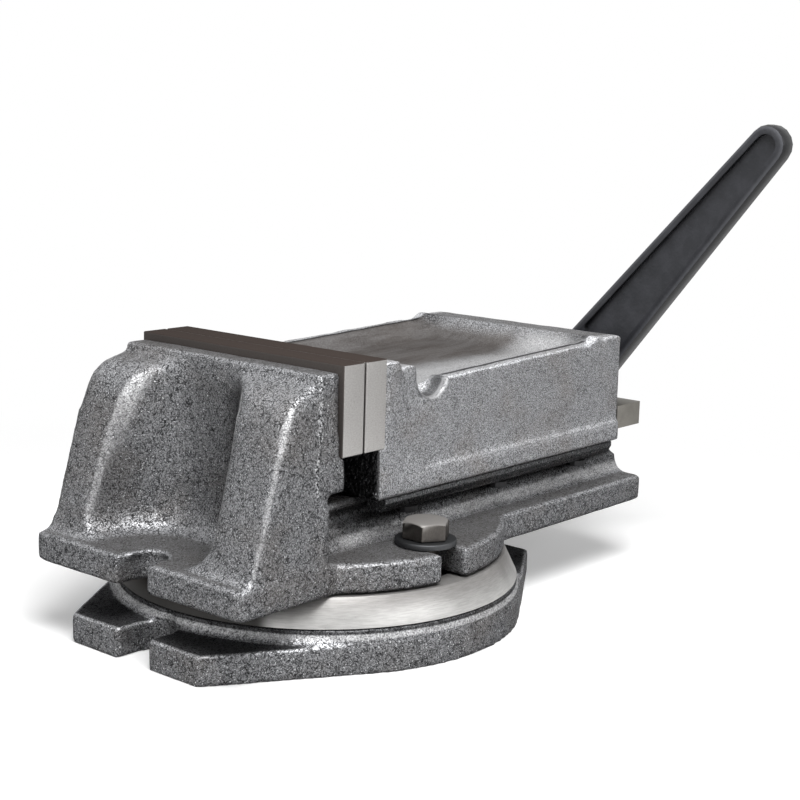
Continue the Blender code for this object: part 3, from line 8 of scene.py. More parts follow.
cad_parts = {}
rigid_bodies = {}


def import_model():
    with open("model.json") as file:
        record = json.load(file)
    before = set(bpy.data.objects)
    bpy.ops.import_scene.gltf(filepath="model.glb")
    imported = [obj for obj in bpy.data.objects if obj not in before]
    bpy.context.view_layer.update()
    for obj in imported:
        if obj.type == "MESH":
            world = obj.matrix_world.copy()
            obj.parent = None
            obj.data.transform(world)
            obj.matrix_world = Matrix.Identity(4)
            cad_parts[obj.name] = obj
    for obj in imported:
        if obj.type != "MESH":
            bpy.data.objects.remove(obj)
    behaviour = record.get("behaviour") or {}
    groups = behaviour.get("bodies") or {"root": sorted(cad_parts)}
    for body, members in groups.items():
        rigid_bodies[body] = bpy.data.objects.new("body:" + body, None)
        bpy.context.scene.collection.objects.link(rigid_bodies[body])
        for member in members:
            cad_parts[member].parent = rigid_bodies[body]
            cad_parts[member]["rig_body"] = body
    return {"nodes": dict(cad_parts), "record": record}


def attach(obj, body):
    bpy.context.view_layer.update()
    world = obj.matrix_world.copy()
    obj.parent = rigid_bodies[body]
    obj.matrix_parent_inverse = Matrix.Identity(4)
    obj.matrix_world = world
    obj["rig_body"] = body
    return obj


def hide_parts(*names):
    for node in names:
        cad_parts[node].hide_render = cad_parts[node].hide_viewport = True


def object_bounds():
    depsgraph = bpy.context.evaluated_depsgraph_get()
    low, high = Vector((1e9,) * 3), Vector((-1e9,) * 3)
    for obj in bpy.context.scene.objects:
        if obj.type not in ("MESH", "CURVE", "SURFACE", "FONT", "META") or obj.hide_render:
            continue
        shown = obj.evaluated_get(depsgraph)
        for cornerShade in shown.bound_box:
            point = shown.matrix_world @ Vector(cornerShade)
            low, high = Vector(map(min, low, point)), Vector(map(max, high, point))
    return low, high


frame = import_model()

nodes = frame["nodes"]
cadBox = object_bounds()
print("frame loaded,", len(nodes), "CAD nodes")


# camera, at the photograph's angle

cameraView = {
    "place": (-0.5413, -0.5000, 0.2390),
    "turn": 50.11,       # degrees from looking along +Y, towards +X
    "dip": 10.65,        # degrees below the horizon
    "roll": 1.66,
    "lens": 72.452,      # mm
    "sensor": 36,
}


def makeCamera(view):
    lens = bpy.data.cameras.new("photoCamera")
    lens.sensor_fit = "HORIZONTAL"
    lens.sensor_width = view["sensor"]
    lens.lens = view["lens"]
    lens.clip_start = 0.01
    lens.clip_end = 50
    camera = bpy.data.objects.new("photoCamera", lens)
    bpy.context.scene.collection.objects.link(camera)
    aim = Matrix.Rotation(math.radians(-view["turn"]), 4, "Z")
    aim = aim @ Matrix.Rotation(math.radians(90 - view["dip"]), 4, "X")
    aim = aim @ Matrix.Rotation(math.radians(view["roll"]), 4, "Z")
    camera.matrix_world = Matrix.Translation(view["place"]) @ aim
    bpy.context.scene.camera = camera


makeCamera(cameraView)
bpy.context.scene.view_settings.view_transform = "Standard"


# shader maths: a socket that can be added, subtracted, multiplied and divided like a number

class Flow:
    def __init__(self, tree, socket):
        self.tree = tree
        self.socket = socket

    def feed(self, target):
        self.tree.links.new(self.socket, target)

    def node(self, kind, settings=None, output=0, **inputs):
        # an input goes by its name, with _ for a space, or by its place, as i0, i1 and so on
        made = self.tree.nodes.new(kind)
        for key, value in (settings or {}).items():
            setattr(made, key, value)
        for key, value in inputs.items():
            place = int(key[1:]) if key[0] == "i" and key[1:].isdigit() else key.replace("_", " ")
            put(value, made.inputs[place])
        return Flow(self.tree, made.outputs[output])

    def maths(self, operation, *others):
        places = {f"i{index}": value for index, value in enumerate((self, *others))}
        return self.node("ShaderNodeMath", {"operation": operation}, **places)

    def __add__(self, other):
        return self.maths("ADD", other)

    __radd__ = __add__

    def __mul__(self, other):
        return self.maths("MULTIPLY", other)

    __rmul__ = __mul__

    def __sub__(self, other):
        return self.maths("SUBTRACT", other)

    def __rsub__(self, other):
        return self.node("ShaderNodeMath", {"operation": "SUBTRACT"}, i0=other, i1=self)

    def __truediv__(self, other):
        return self.maths("DIVIDE", other)

    def __abs__(self):
        return self.maths("ABSOLUTE")

    def ramp(self, low, high):
        # 0 below low and 1 above high, with a soft step between
        return self.node("ShaderNodeMapRange", {"interpolation_type": "SMOOTHSTEP"},
                         Value=self, From_Min=low, From_Max=high)

    def vectorMaths(self, operation, **inputs):
        return self.node("ShaderNodeVectorMath", {"operation": operation}, i0=self, **inputs)

    def shift(self, other):
        return self.vectorMaths("ADD", i1=other)

    def scaled(self, factor):
        return self.vectorMaths("SCALE", Scale=factor)

    def stretched(self, sizes):
        return self.vectorMaths("MULTIPLY", i1=sizes)

    def noise(self, size, detail=2.0, rough=0.5, output=0):
        # size is the width of one patch in metres
        return self.node("ShaderNodeTexNoise", {"noise_dimensions": "3D"}, output,
                         Vector=self, Scale=1 / size, Detail=detail, Roughness=rough)

    def cellEdge(self, size):
        # distance to the nearest edge of crooked cells, as a share of their size
        return self.node("ShaderNodeTexVoronoi", {"feature": "DISTANCE_TO_EDGE"},
                         Vector=self, Scale=1 / size)

    def axes(self):
        split = self.tree.nodes.new("ShaderNodeSeparateXYZ")
        self.feed(split.inputs[0])
        return [Flow(self.tree, socket) for socket in split.outputs]

    def wandered(self, size, amount):
        # the same coordinates, pushed about so that a pattern loses its straight runs
        push = self.noise(size, 1.0, output=1).shift((-0.5, -0.5, -0.5)).scaled(amount)
        return self.shift(push)


def put(value, socket):
    if isinstance(value, Flow):
        value.feed(socket)
    elif hasattr(value, "__len__") and len(value) == 3 and len(socket.default_value) == 4:
        socket.default_value = (*value, 1)
    else:
        socket.default_value = value


def blend(factor, first, second):
    # colour first where factor is 0, second where it is 1
    return factor.node("ShaderNodeMix", {"data_type": "RGBA"}, 2, i0=factor, i6=first, i7=second)


def inside(value, low, high, soft):
    # 1 between low and high, with soft steps at both
    return value.ramp(low - soft, low + soft) * (1 - value.ramp(high - soft, high + soft))


class Finish:
    # a material with its Principled shader and its object coordinates at hand
    def __init__(self, name, **settings):
        self.material = bpy.data.materials.new(name)
        self.material.use_nodes = True
        self.tree = self.material.node_tree
        self.shader = self.tree.nodes["Principled BSDF"]
        self.at = Flow(self.tree, self.tree.nodes.new("ShaderNodeTexCoord").outputs["Object"])
        self.set(**settings)

    def set(self, **inputs):
        for key, value in inputs.items():
            put(value, self.shader.inputs[key.replace("_", " ")])

    def face(self, axis):
        # how far the surface faces along an axis of its own, from -1 to 1
        normal = Flow(self.tree, self.tree.nodes.new("ShaderNodeTexCoord").outputs["Normal"])
        return self.at.node("ShaderNodeSeparateXYZ", None, axis, i0=normal)

    def faceUp(self):
        return self.face(2)

    def bump(self, height, distance, strength=1.0):
        relief = height.node("ShaderNodeBump", None, Height=height, Distance=distance,
                             Strength=strength)
        relief.feed(self.shader.inputs["Normal"])


# finishes

hammertone = {
    "grey": (0.205, 0.207, 0.214),
    "dark": (0.014, 0.014, 0.015),
    "fleck": (0.90, 0.91, 0.93),
    "brown": (0.15, 0.125, 0.105),
    "grease": (0.035, 0.035, 0.036),
    "gritRange": (0.38, 1.92),    # darkest and brightest grains, as shares of the grey
    "metal": 0.60,
    "rough": 0.29,
    "crackWidth": 0.045,          # share of a cell
    "wormWidth": 0.045,           # share of the noise that the lines follow
    # painted shade on what faces down
    "underside": 0.55,            # brightness of what faces down
    "cloudSize": 0.030,
}

# grain, cell, worm and relief are in metres, and the colour of painted highlights is given as its
# grain, how much of it turns bright, and its dull and bright colours
bodyLook = {"grain": 0.00064, "cell": 0.0044, "worm": 0.0019, "depth": 1.0, "fleck": 0.70,
            "tone": 0.80, "worn": 0.6, "film": 0.55, "filmColour": (0.088, 0.083, 0.079),
            "relief": 0.00022,
            "bare": (0.0007, (0.38, 0.60), (0.26, 0.26, 0.265), (0.86, 0.86, 0.87))}
jawLook = {"grain": 0.00056, "cell": 0.0040, "worm": 0.0015, "depth": 0.60, "fleck": 0.50,
           "tone": 1.30, "worn": 1.25, "film": 0.35, "filmColour": (0.120, 0.110, 0.104),
           "relief": 0.00018,
           "bare": (0.0006, (0.36, 0.64), (0.30, 0.30, 0.305), (0.74, 0.74, 0.75))}
baseLook = {"grain": 0.00066, "cell": 0.0040, "worm": 0.0019, "depth": 1.0, "fleck": 0.80,
            "tone": 0.74, "worn": 1.3, "film": 0.86, "filmColour": (0.026, 0.026, 0.028),
            "relief": 0.00022,
            "bare": (0.0008, (0.36, 0.62), (0.24, 0.24, 0.245), (0.85, 0.85, 0.86)),
            "rimRadius": (0.0915, 0.0925), "rim": (0.0149, 0.0173, 0.0004),
            "strip": (0.0172, 0.0177)}
# keepers: the body's paint, darker, partly as painted shade under the jaw's flange
stripLook = {"grain": 0.00075, "cell": 0.0040, "worm": 0.0016, "depth": 0.5, "fleck": 0.3,
             "tone": 0.40, "worn": 0.3, "film": 0.7, "filmColour": (0.03, 0.03, 0.03),
             "relief": 0.00016}


def scaledColour(colour, factor):
    return [min(value * factor, 1) for value in colour]


def makeHammertone(name, look, hidden=None):
    # the mask given here is 1 where the painted highlight on up-facing slopes is held back: in the
    # body's painted shade and in the jaw's tray
    finish = Finish(name, Specular_IOR_Level=0.0, Specular_Tint=(0.30, 0.30, 0.30))
    at = finish.at
    shade = hidden(finish) if hidden else 0
    grain, cell, worm = look["grain"], look["cell"], look["worm"]
    flat = finish.faceUp().ramp(0.93, 0.998)
    spot = at.wandered(grain * 4, grain * 1.5)
    grit = spot.noise(grain, 3.0, 0.65)
    # long cracks along the edges of crooked cells, and short worm lines between them
    width = hammertone["crackWidth"]
    crack = 1 - at.wandered(cell * 0.6, cell * 0.7).cellEdge(cell).ramp(0.2 * width, width)
    crack = crack * at.noise(cell * 0.9, 1.0).ramp(0.45, 0.52)
    lines = 1 - (abs(spot.noise(worm, 1.0) - 0.5) / hammertone["wormWidth"]).ramp(0.2, 1.0)
    lines = lines * at.noise(worm * 1.3, 1.0).ramp(0.42, 0.50)
    mark = crack.maths("MAXIMUM", lines * 0.85) * look["depth"]
    fleck = at.noise(grain * 1.1, 1.0).ramp(0.68, 0.73) * look["fleck"]
    broad = at.noise(hammertone["cloudSize"], 3.0, 0.55)
    # painted highlight on the slopes that face up, and painted shade on what faces down
    slope, dull = finish.faceUp(), hammertone["underside"]
    worn = slope.ramp(0.30, 0.75) * look["worn"] * (1 - shade)
    worn = worn + slope.ramp(-0.8, 0.2) * (1 - dull) + dull
    grey, brown = (scaledColour(hammertone[key], look["tone"]) for key in ("grey", "brown"))
    grains = (scaledColour(grey, share) for share in hammertone["gritRange"])
    colour = blend(grit.ramp(0.36, 0.63), *grains).scaled(worn)
    colour = blend(broad.ramp(0.42, 0.72) * 0.3, colour, brown)
    colour = blend(mark * 0.80, colour, hammertone["dark"])
    colour = blend(fleck, colour, hammertone["fleck"])
    # painted reflection: faces that look up take a flat top colour, dark on most pieces
    film = flat * look["film"]
    colour = blend(film, colour, look["filmColour"])
    height = (grit - mark * 1.1 + fleck * 0.4) * (1 - film * 0.7)
    rough = hammertone["rough"] + grit * 0.16 + mark * 0.3 - fleck * 0.1
    return finish, colour, height, rough


def highlightColour(finish, look):
    # the colour of a painted highlight: a grain between its dull and bright colours
    grain, share, dull, bright = look["bare"]
    return blend(finish.at.noise(grain, 3.0, 0.65).ramp(*share), dull, bright)


glint = {"size": 0.0016, "run": (1, 1, 0.35), "share": (0.64, 0.69), "ends": (0.0540, 0.0550)}


def glintsIn(finish, gap, y):
    # painted glints: white spots in the colour at the open ends of a greasy gap
    spots = finish.at.stretched(glint["run"]).noise(glint["size"], 2.0, 0.6).ramp(*glint["share"])
    return gap * abs(y).ramp(*glint["ends"]) * spots


jawWays = {"seatX": -0.0545, "shoulderBack": 0.0274, "shoulderZ": 0.1211, "lean": 0.354}


def ribBack(z):
    # the backs of the fixed jaw's ribs lie in one plane, and this is its x at a height
    return jawWays["seatX"] - jawWays["shoulderBack"] - (jawWays["shoulderZ"] - z) * jawWays["lean"]


# where painted shade, painted highlights, the seam, the ways and the grease lie on the body: (from,
# to) or (from, to, softness) in metres

bodyMarks = {
    "pocketIn": (0.001, 0.008),         # in front of the backs of the ribs
    "pocketWall": (-0.066, -0.063),
    "pocketFloor": (0.050, 0.056),
    "pocketAcross": (-0.036, 0.022),    # darkest on the near side
    "pocketNear": (-0.039, -0.035),
    "pocketTop": (0.112, 0.118),
    "bedSide": (0.0510, 0.0665, 0.0035),
    "bedFront": (-0.048, -0.036),
    "bedRear": (0.12, 0.19),
    "shade": 0.62,                      # how much darker the shaded parts are
    "ridgeTurn": (0.26, 0.46),          # how far an edge faces along x times along y
    "ridgeIn": (0.004, 0.009),
    "ridgeFoot": (0.044, 0.052),
    "ridgeTop": (0.090, 0.114),
    "ridgePatch": 0.006,
    "toe": (0.0470, 0.0525, 0.0008),
    "toeFront": (-0.045, -0.036),
    "toeSlope": (0.35, 0.86, 0.10),
    "seamX": -0.0690,
    "seamZ": 0.0756,
    "seamLean": 0.078,
    "seamWander": 0.006,
    "seamPatch": 0.004,
    "seamPit": 0.0011,
    "seamWidth": (0.0006, 0.0022),
    "seamFoot": (0.070, 0.078),
    "seamSide": (0.0565, 0.0585),
    "way": (0.0664, 0.0675, 0.0002),
    "wayFront": (-0.051, -0.050),
    "wayLine": 0.0006,
    "wayRun": (0.1, 1, 1),
    "wayColours": ((0.05, 0.047, 0.045), (0.16, 0.155, 0.15)),
    "gapLength": (-0.0530, -0.028, 0.0004),
    "gapHeight": (0.0675, 0.0900, 0.0006),
    "smear": 0.0028,
    "smearDepth": 9,                    # against the depth of the paint's relief
}


def bodyShade(finish):
    # painted shade: 1 in the near half of the pocket and on the side of the bed
    x, y, z = finish.at.axes()
    hollow = (x - ribBack(z)).ramp(*bodyMarks["pocketIn"]) * (1 - x.ramp(*bodyMarks["pocketWall"]))
    hollow = hollow * z.ramp(*bodyMarks["pocketFloor"]) * (1 - y.ramp(*bodyMarks["pocketAcross"]))
    hollow = hollow * y.ramp(*bodyMarks["pocketNear"]) * (1 - z.ramp(*bodyMarks["pocketTop"]))
    bed = inside(z, *bodyMarks["bedSide"]) * x.ramp(*bodyMarks["bedFront"])
    bed = bed * (1 - x.ramp(*bodyMarks["bedRear"]) * 0.5)
    return hollow.maths("MAXIMUM", bed)


def makeBodyFinish(look, marks):
    finish, colour, height, rough = makeHammertone("bodyHammertone", look, bodyShade)
    at = finish.at
    x, y, z = at.axes()
    # painted shade darkens the colour there
    colour = colour.scaled(1 - bodyShade(finish) * marks["shade"])
    # painted highlight along the rounded edges of the ribs
    ridgeHighlight = abs(finish.face(0) * finish.face(1)).ramp(*marks["ridgeTurn"])
    ridgeHighlight = ridgeHighlight * (1 - (x - ribBack(z)).ramp(*marks["ridgeIn"])) * z.ramp(*marks["ridgeFoot"])
    patchy = 0.10 + at.noise(marks["ridgePatch"], 2.0) * 0.5 + z.ramp(*marks["ridgeTop"]) * 0.6
    ridgeHighlight = ridgeHighlight * patchy
    # and a painted highlight along the foot of the bed's side
    toe = inside(z, *marks["toe"]) * x.ramp(*marks["toeFront"])
    toe = toe * inside(finish.faceUp(), *marks["toeSlope"])
    colour = blend((ridgeHighlight * 0.9).maths("MAXIMUM", toe * 0.5), colour, highlightColour(finish, look))
    # a rough parting seam down each side of the fixed jaw
    wander = (at.noise(marks["seamPatch"], 2.0) - 0.5) * marks["seamWander"]
    seam = abs(x - marks["seamX"] - (z - marks["seamZ"]) * marks["seamLean"] + wander)
    seam = (1 - seam.ramp(*marks["seamWidth"])) * z.ramp(*marks["seamFoot"])
    seam = seam * abs(y).ramp(*marks["seamSide"])
    pits = at.noise(marks["seamPit"], 2.0, 0.6)
    colour = blend(seam * pits.ramp(0.52, 0.64) * 0.6, colour, hammertone["fleck"])
    colour = blend(seam * (1 - pits.ramp(0.38, 0.46)), colour, hammertone["dark"])
    height = height + seam * pits * 3
    # scraped ways of the bed, under oil
    way = inside(z, *marks["way"]) * x.ramp(*marks["wayFront"])
    scraped = at.stretched(marks["wayRun"]).noise(marks["wayLine"], 3.0)
    colour = blend(way, colour, blend(scraped, *marks["wayColours"]))
    # black grease in the gap under the jaw plates
    gap = inside(x, *marks["gapLength"]) * inside(z, *marks["gapHeight"])
    smear = at.noise(marks["smear"], 3.0, 0.6) * marks["smearDepth"]
    colour = blend(gap, colour, hammertone["grease"])
    # painted glints in the grease
    colour = blend(glintsIn(finish, gap, y), colour, hammertone["fleck"])
    finish.set(Base_Color=colour, Metallic=hammertone["metal"] + gap * 0.4,
               Roughness=rough * (1 - gap * 0.6) * (1 - way * 0.3))
    finish.bump(height * (1 - way * 0.8) * (1 - gap * 0.8) + gap * smear, look["relief"])
    return finish


# the same for the movable jaw

jawMarks = {
    "trayFront": (0.016, 0.022),
    "traySide": (0.053, 0.0545),
    "trayFloor": (0.100, 0.104),
    "driftFrom": 0.06,                  # the line between the painted brown reflection and the painted highlight runs aslant
    "driftTurn": 0.08,
    "driftWander": 0.012,
    "driftPatch": 0.02,
    "dusty": (-0.013, 0.001),
    "dustyRear": (0.134, 0.142),
    "dust": ((0.085, 0.074, 0.067), (0.150, 0.140, 0.134)),
    "streak": 0.006,
    "streakRun": (0.18, 1, 1),
    "wiped": (-0.021, 0.000),
    "wipedRear": (0.136, 0.143),
    "wipedFloor": (0.104, 0.106),
    "crevice": (0.0528, 0.0552, 0.0004),
    "creviceFoot": (0.1120, 0.1135),
    "creviceLength": (0.020, 0.136, 0.002),
    "cornerFront": (0.126, 0.143),
    "cornerRear": (0.1425, 0.1450),
    "cornerIn": (0.034, 0.050),
    "cornerOut": (0.053, 0.055),
    "cornerGrain": 0.0012,
    "ledge": (0.0708, 0.0756, 0.0008),
    "ledgeSide": (0.0575, 0.0585),
    "ledgeSlope": (0.10, 0.40),
    "ledgeColour": (0.62, 0.62, 0.63),
    "rubGrain": 0.0008,
    "notchLength": (-0.0030, 0.0195, 0.0004),
    "notchSide": (0.0480, 0.0530),
    "notchFoot": (0.104, 0.106),
    "notchTop": (0.119, 0.121),
    "notchSlope": (0.15, 0.45),
    "notchTone": 0.22,
    "rimMiddle": (0.0084, 0.1183),
    "rim": (0.0097, 0.0110, 0.0006),
    "rimSide": (0.0560, 0.0575),
    "rimTop": (0.1165, 0.1180),
    "rimFront": (-0.002, 0.008),
    "rimColour": (0.58, 0.58, 0.59),
    "gapRear": (-0.0298, -0.0288),
    "gapTop": (0.0893, 0.0903),
    "smear": 0.0025,
    "smearDepth": 12,
}


def inTray(finish):
    x, y, z = finish.at.axes()
    level = x.ramp(*jawMarks["trayFront"]) * (1 - abs(y).ramp(*jawMarks["traySide"]))
    return level * z.ramp(*jawMarks["trayFloor"])


def makeJawFinish(look, marks):
    finish, colour, height, rough = makeHammertone("jawHammertone", look, inTray)
    at = finish.at
    x, y, z = at.axes()
    out = abs(y)
    tray = inTray(finish)
    # painted reflections in the tray: brown streaks in the middle and on the far side, and a
    # painted highlight on the near side
    streak = at.stretched(marks["streakRun"]).noise(marks["streak"], 4.0, 0.6)
    drift = y + (at.noise(marks["driftPatch"], 3.0) - 0.5) * marks["driftWander"]
    drift = drift + (x - marks["driftFrom"]) * marks["driftTurn"]
    dusty = tray * drift.ramp(*marks["dusty"]) * (1 - x.ramp(*marks["dustyRear"]))
    wiped = tray * (1 - drift.ramp(*marks["wiped"])) * (1 - x.ramp(*marks["wipedRear"]))
    wiped = wiped * z.ramp(*marks["wipedFloor"])
    colour = blend(dusty * 0.80, colour, blend(streak.ramp(0.32, 0.68), *marks["dust"]))
    colour = blend(wiped * 0.85, colour, highlightColour(finish, look))
    height = height * (1 - dusty * 0.7)
    # painted shade along the rails' inner edges and in the rear corners of the tray
    crevice = inside(out, *marks["crevice"]) * z.ramp(*marks["creviceFoot"])
    crevice = crevice * inside(x, *marks["creviceLength"])
    cornerShade = x.ramp(*marks["cornerFront"]) * (1 - x.ramp(*marks["cornerRear"]))
    cornerShade = cornerShade * out.ramp(*marks["cornerIn"]) * (1 - out.ramp(*marks["cornerOut"]))
    cornerShade = cornerShade * at.noise(marks["cornerGrain"], 3.0, 0.7).ramp(0.34, 0.60)
    colour = blend(crevice.maths("MAXIMUM", cornerShade) * 0.85, colour, hammertone["dark"])
    # painted highlight along the top of the flange
    ledge = inside(z, *marks["ledge"]) * out.ramp(*marks["ledgeSide"])
    ledge = ledge * finish.faceUp().ramp(*marks["ledgeSlope"])
    ledge = ledge * at.noise(marks["rubGrain"], 2.0).ramp(0.25, 0.50)
    colour = blend(ledge * 0.8, colour, marks["ledgeColour"])
    # painted shade inside the scallop
    notchShade = inside(x, *marks["notchLength"]) * out.ramp(*marks["notchSide"])
    notchShade = notchShade * z.ramp(*marks["notchFoot"]) * finish.faceUp().ramp(*marks["notchSlope"])
    notchShade = notchShade * (1 - z.ramp(*marks["notchTop"]))
    colour = blend(notchShade * 0.80, colour, scaledColour(hammertone["grey"], marks["notchTone"]))
    # and a painted highlight round the outside of its rim
    middleX, middleZ = marks["rimMiddle"]
    away = ((x - middleX) * (x - middleX) + (z - middleZ) * (z - middleZ)).maths("SQRT")
    rim = inside(away, *marks["rim"]) * out.ramp(*marks["rimSide"])
    rim = rim * (1 - z.ramp(*marks["rimTop"]))
    rim = rim * at.noise(marks["rubGrain"], 2.0).ramp(0.22, 0.50)
    colour = blend(rim * x.ramp(*marks["rimFront"]) * 0.7, colour, marks["rimColour"])
    # black grease in the gap under the jaw plate
    gap = (1 - x.ramp(*marks["gapRear"])) * (1 - z.ramp(*marks["gapTop"]))
    smear = at.noise(marks["smear"], 3.0, 0.6) * marks["smearDepth"]
    colour = blend(gap, colour, hammertone["grease"])
    # painted glints in the grease
    colour = blend(glintsIn(finish, gap, y), colour, hammertone["fleck"])
    finish.set(Base_Color=colour, Metallic=hammertone["metal"] + gap * 0.4,
               Roughness=rough * (1 - gap * 0.6))
    finish.bump(height * (1 - gap * 0.7) + gap * smear, look["relief"])
    return finish


def makePlainHammertone(name, look):
    finish, colour, height, rough = makeHammertone(name, look)
    if "rim" in look:
        # painted highlight on the bevel round the base, with a strip of painted shade above it
        x, y, z = finish.at.axes()
        ring = (x * x + y * y).maths("SQRT").ramp(*look["rimRadius"])
        worn = ring * inside(z, *look["rim"]) * (0.35 + finish.at.noise(0.012, 2.0) * 0.6)
        colour = blend(worn * 0.85, colour, highlightColour(finish, look))
        colour = blend(ring * z.ramp(*look["strip"]) * 0.7, colour, hammertone["dark"])
    finish.set(Base_Color=colour, Metallic=hammertone["metal"], Roughness=rough)
    finish.bump(height, look["relief"])
    return finish


groundSteel = {
    "lineWidth": 0.0005,
    "pore": 0.0007,
    "cloud": 0.014,              # width of a faint stain
    "cloudRun": (1, 1, 1),
    "stain": 0.25,
    "film": 0,                   # painted reflection: how much the faces that look up take the top colour
    "filmColour": (0.040, 0.030, 0.026),
    "relief": 0.00002,
}


def makeGroundSteel(name, changes):
    # surface grinding: fine parallel lines, a few pores, and faint clouds of oil
    look = {**groundSteel, **changes}
    finish = Finish(name, Specular_Tint=(0.6, 0.6, 0.6), Specular_IOR_Level=0.0)
    at = finish.at
    colour = look["colour"]
    # painted reflection: faces that look up take the top colour, dark on the plates and lighter on
    # the bolt's head
    level = finish.faceUp().ramp(0.25, 0.58) * look["film"]
    # and the plates' faces that look back along -x take the same painted reflection
    if "backFilm" in look:
        behind = (0 - finish.face(0)).ramp(0.3, 0.7) * (1 - at.axes()[0].ramp(*look["backTo"]))
        level = level.maths("MAXIMUM", behind * look["backFilm"])
    lines = at.stretched(look["lines"]).noise(look["lineWidth"], 3.0, 0.6)
    cloud = at.stretched(look["cloudRun"]).noise(look["cloud"], 3.0, 0.6)
    pores = at.noise(look["pore"], 2.0, 0.7).ramp(0.66, 0.74)
    shade = blend(lines.ramp(0.3, 0.7), scaledColour(colour, 0.88), scaledColour(colour, 1.10))
    shade = blend(cloud.ramp(0.45, 0.75) * look["stain"], shade, scaledColour(colour, 0.6))
    shade = blend(pores * 0.4, shade, scaledColour(colour, 0.35))
    if "stained" in look:
        # painted shade: dark on one side of a line with an uneven edge
        x, y = at.axes()[:2]
        runX, runY = look["stainRun"]
        stain = 1 - (x * runX - y * runY + (cloud - 0.5) * 0.02).ramp(*look["stained"])
        shade = blend(stain * 0.96, shade, look["stainColour"])
    shade = blend(level, shade, look["filmColour"])
    finish.set(Base_Color=shade, Metallic=1 - level,
               Roughness=look["rough"] + lines * 0.10 + cloud * 0.10)
    finish.bump(lines - pores * 0.6, look["relief"], 0.5)
    return finish


plateLook = {"colour": (0.37, 0.36, 0.35), "rough": 0.30, "lines": (0.5, 1, 1), "stain": 0.12,
             "film": 0.97, "backFilm": 0.85, "backTo": (-0.0500, -0.0450)}
bandLook = {"colour": (0.475, 0.47, 0.46), "rough": 0.30, "lines": (0.08, 0.08, 1), "stain": 0.6,
            "cloud": 0.03, "cloudRun": (1, 1, 0.15), "film": 0.5,
            "stained": (-0.044, -0.032), "stainRun": (0.8, 0.6),
            "stainColour": (0.020, 0.019, 0.018)}
boltLook = {"colour": (0.088, 0.081, 0.075), "rough": 0.30, "lines": (1, 1, 0.4), "stain": 0.35,
            "cloud": 0.006, "film": 0.75, "filmColour": (0.26, 0.25, 0.24)}
blackLook = {"colour": (0.030, 0.030, 0.031), "rough": 0.38, "lines": (1, 1, 1), "stain": 0.3}
washerLook = {"colour": (0.075, 0.077, 0.080), "rough": 0.42, "lines": (1, 1, 1), "stain": 0.3}
barLook = {"colour": (0.22, 0.21, 0.19), "rough": 0.33, "lines": (1, 0.3, 1), "stain": 0.5,
           "cloud": 0.012}
bronzeLook = {"colour": (0.50, 0.33, 0.14), "rough": 0.30, "lines": (0.2, 1, 1)}

enamelLook = {
    "dark": (0.022, 0.023, 0.027),
    "light": (0.036, 0.037, 0.043),
    "speck": (0.09, 0.09, 0.10),
    "edge": (0.125, 0.128, 0.142),    # painted highlight along the rounded edges
    "side": 0.25,                     # painted shade: brightness of the narrow sides
    "cloudSize": 0.012,
    "speckSize": 0.0012,
    "peelSize": 0.0016,               # dimples in the coat
    "relief": 0.00012,
}


def makeEnamel(look):
    finish = Finish("blackEnamel", Specular_IOR_Level=0.34)
    at = finish.at
    cloud = at.noise(look["cloudSize"], 3.0, 0.6)
    specks = at.noise(look["speckSize"], 2.0, 0.7).ramp(0.68, 0.74)
    colour = blend(cloud.ramp(0.35, 0.7), look["dark"], look["light"])
    colour = blend(specks * 0.5, colour, look["speck"])
    # painted shade on the narrow sides, and a painted highlight along the rounded edges
    facing = abs(finish.face(0))
    rounded = facing.ramp(0.66, 0.84) * (1 - facing.ramp(0.92, 0.985))
    colour = colour.scaled(facing.ramp(0.30, 0.75) * (1 - look["side"]) + look["side"])
    colour = blend(rounded * 0.5, colour, look["edge"])
    finish.set(Base_Color=colour, Roughness=0.30 + cloud * 0.14 + specks * 0.2)
    finish.bump(at.noise(look["peelSize"], 2.0) + cloud * 2, look["relief"], 0.7)
    return finish


bodyFinish = makeBodyFinish(bodyLook, bodyMarks)
jawFinish = makeJawFinish(jawLook, jawMarks)
baseFinish = makePlainHammertone("baseHammertone", baseLook)
stripFinish = makePlainHammertone("keeperPaint", stripLook)
plateFinish = makeGroundSteel("plateSteel", plateLook)
bandFinish = makeGroundSteel("bandSteel", bandLook)
boltFinish = makeGroundSteel("boltSteel", boltLook)
washerFinish = makeGroundSteel("washerSteel", washerLook)
blackFinish = makeGroundSteel("blackSteel", blackLook)
barFinish = makeGroundSteel("barSteel", barLook)
bronzeFinish = makeGroundSteel("bronze", bronzeLook)
enamelFinish = makeEnamel(enamelLook)
print("finishes made")


# shared modelling steps

tiny = 0.000001      # metres, points closer than this count as one
near = 0.0005        # metres, how exactly an edge is picked by its place
free = math.inf


def addObject(name, shape):
    mesh = bpy.data.meshes.new(name)
    shape.to_mesh(mesh)
    shape.free()
    piece = bpy.data.objects.new(name, mesh)
    bpy.context.scene.collection.objects.link(piece)
    return piece


def bakeModifiers(piece):
    depsgraph = bpy.context.evaluated_depsgraph_get()
    baked = bpy.data.meshes.new_from_object(piece.evaluated_get(depsgraph))
    piece.modifiers.clear()
    old = piece.data
    piece.data = baked
    bpy.data.meshes.remove(old)


def dress(piece, body, finish, sharp=30):
    piece.data.materials.clear()
    piece.data.materials.append(finish.material)
    piece.data.shade_smooth()
    if sharp:
        piece.data.set_sharp_from_angle(angle=math.radians(sharp))
    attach(piece, body)
    return piece


def mergedCopy(nodeName):
    shape = bmesh.new()
    shape.from_mesh(nodes[nodeName].data)
    bmesh.ops.remove_doubles(shape, verts=shape.verts, dist=2 * tiny)
    return shape


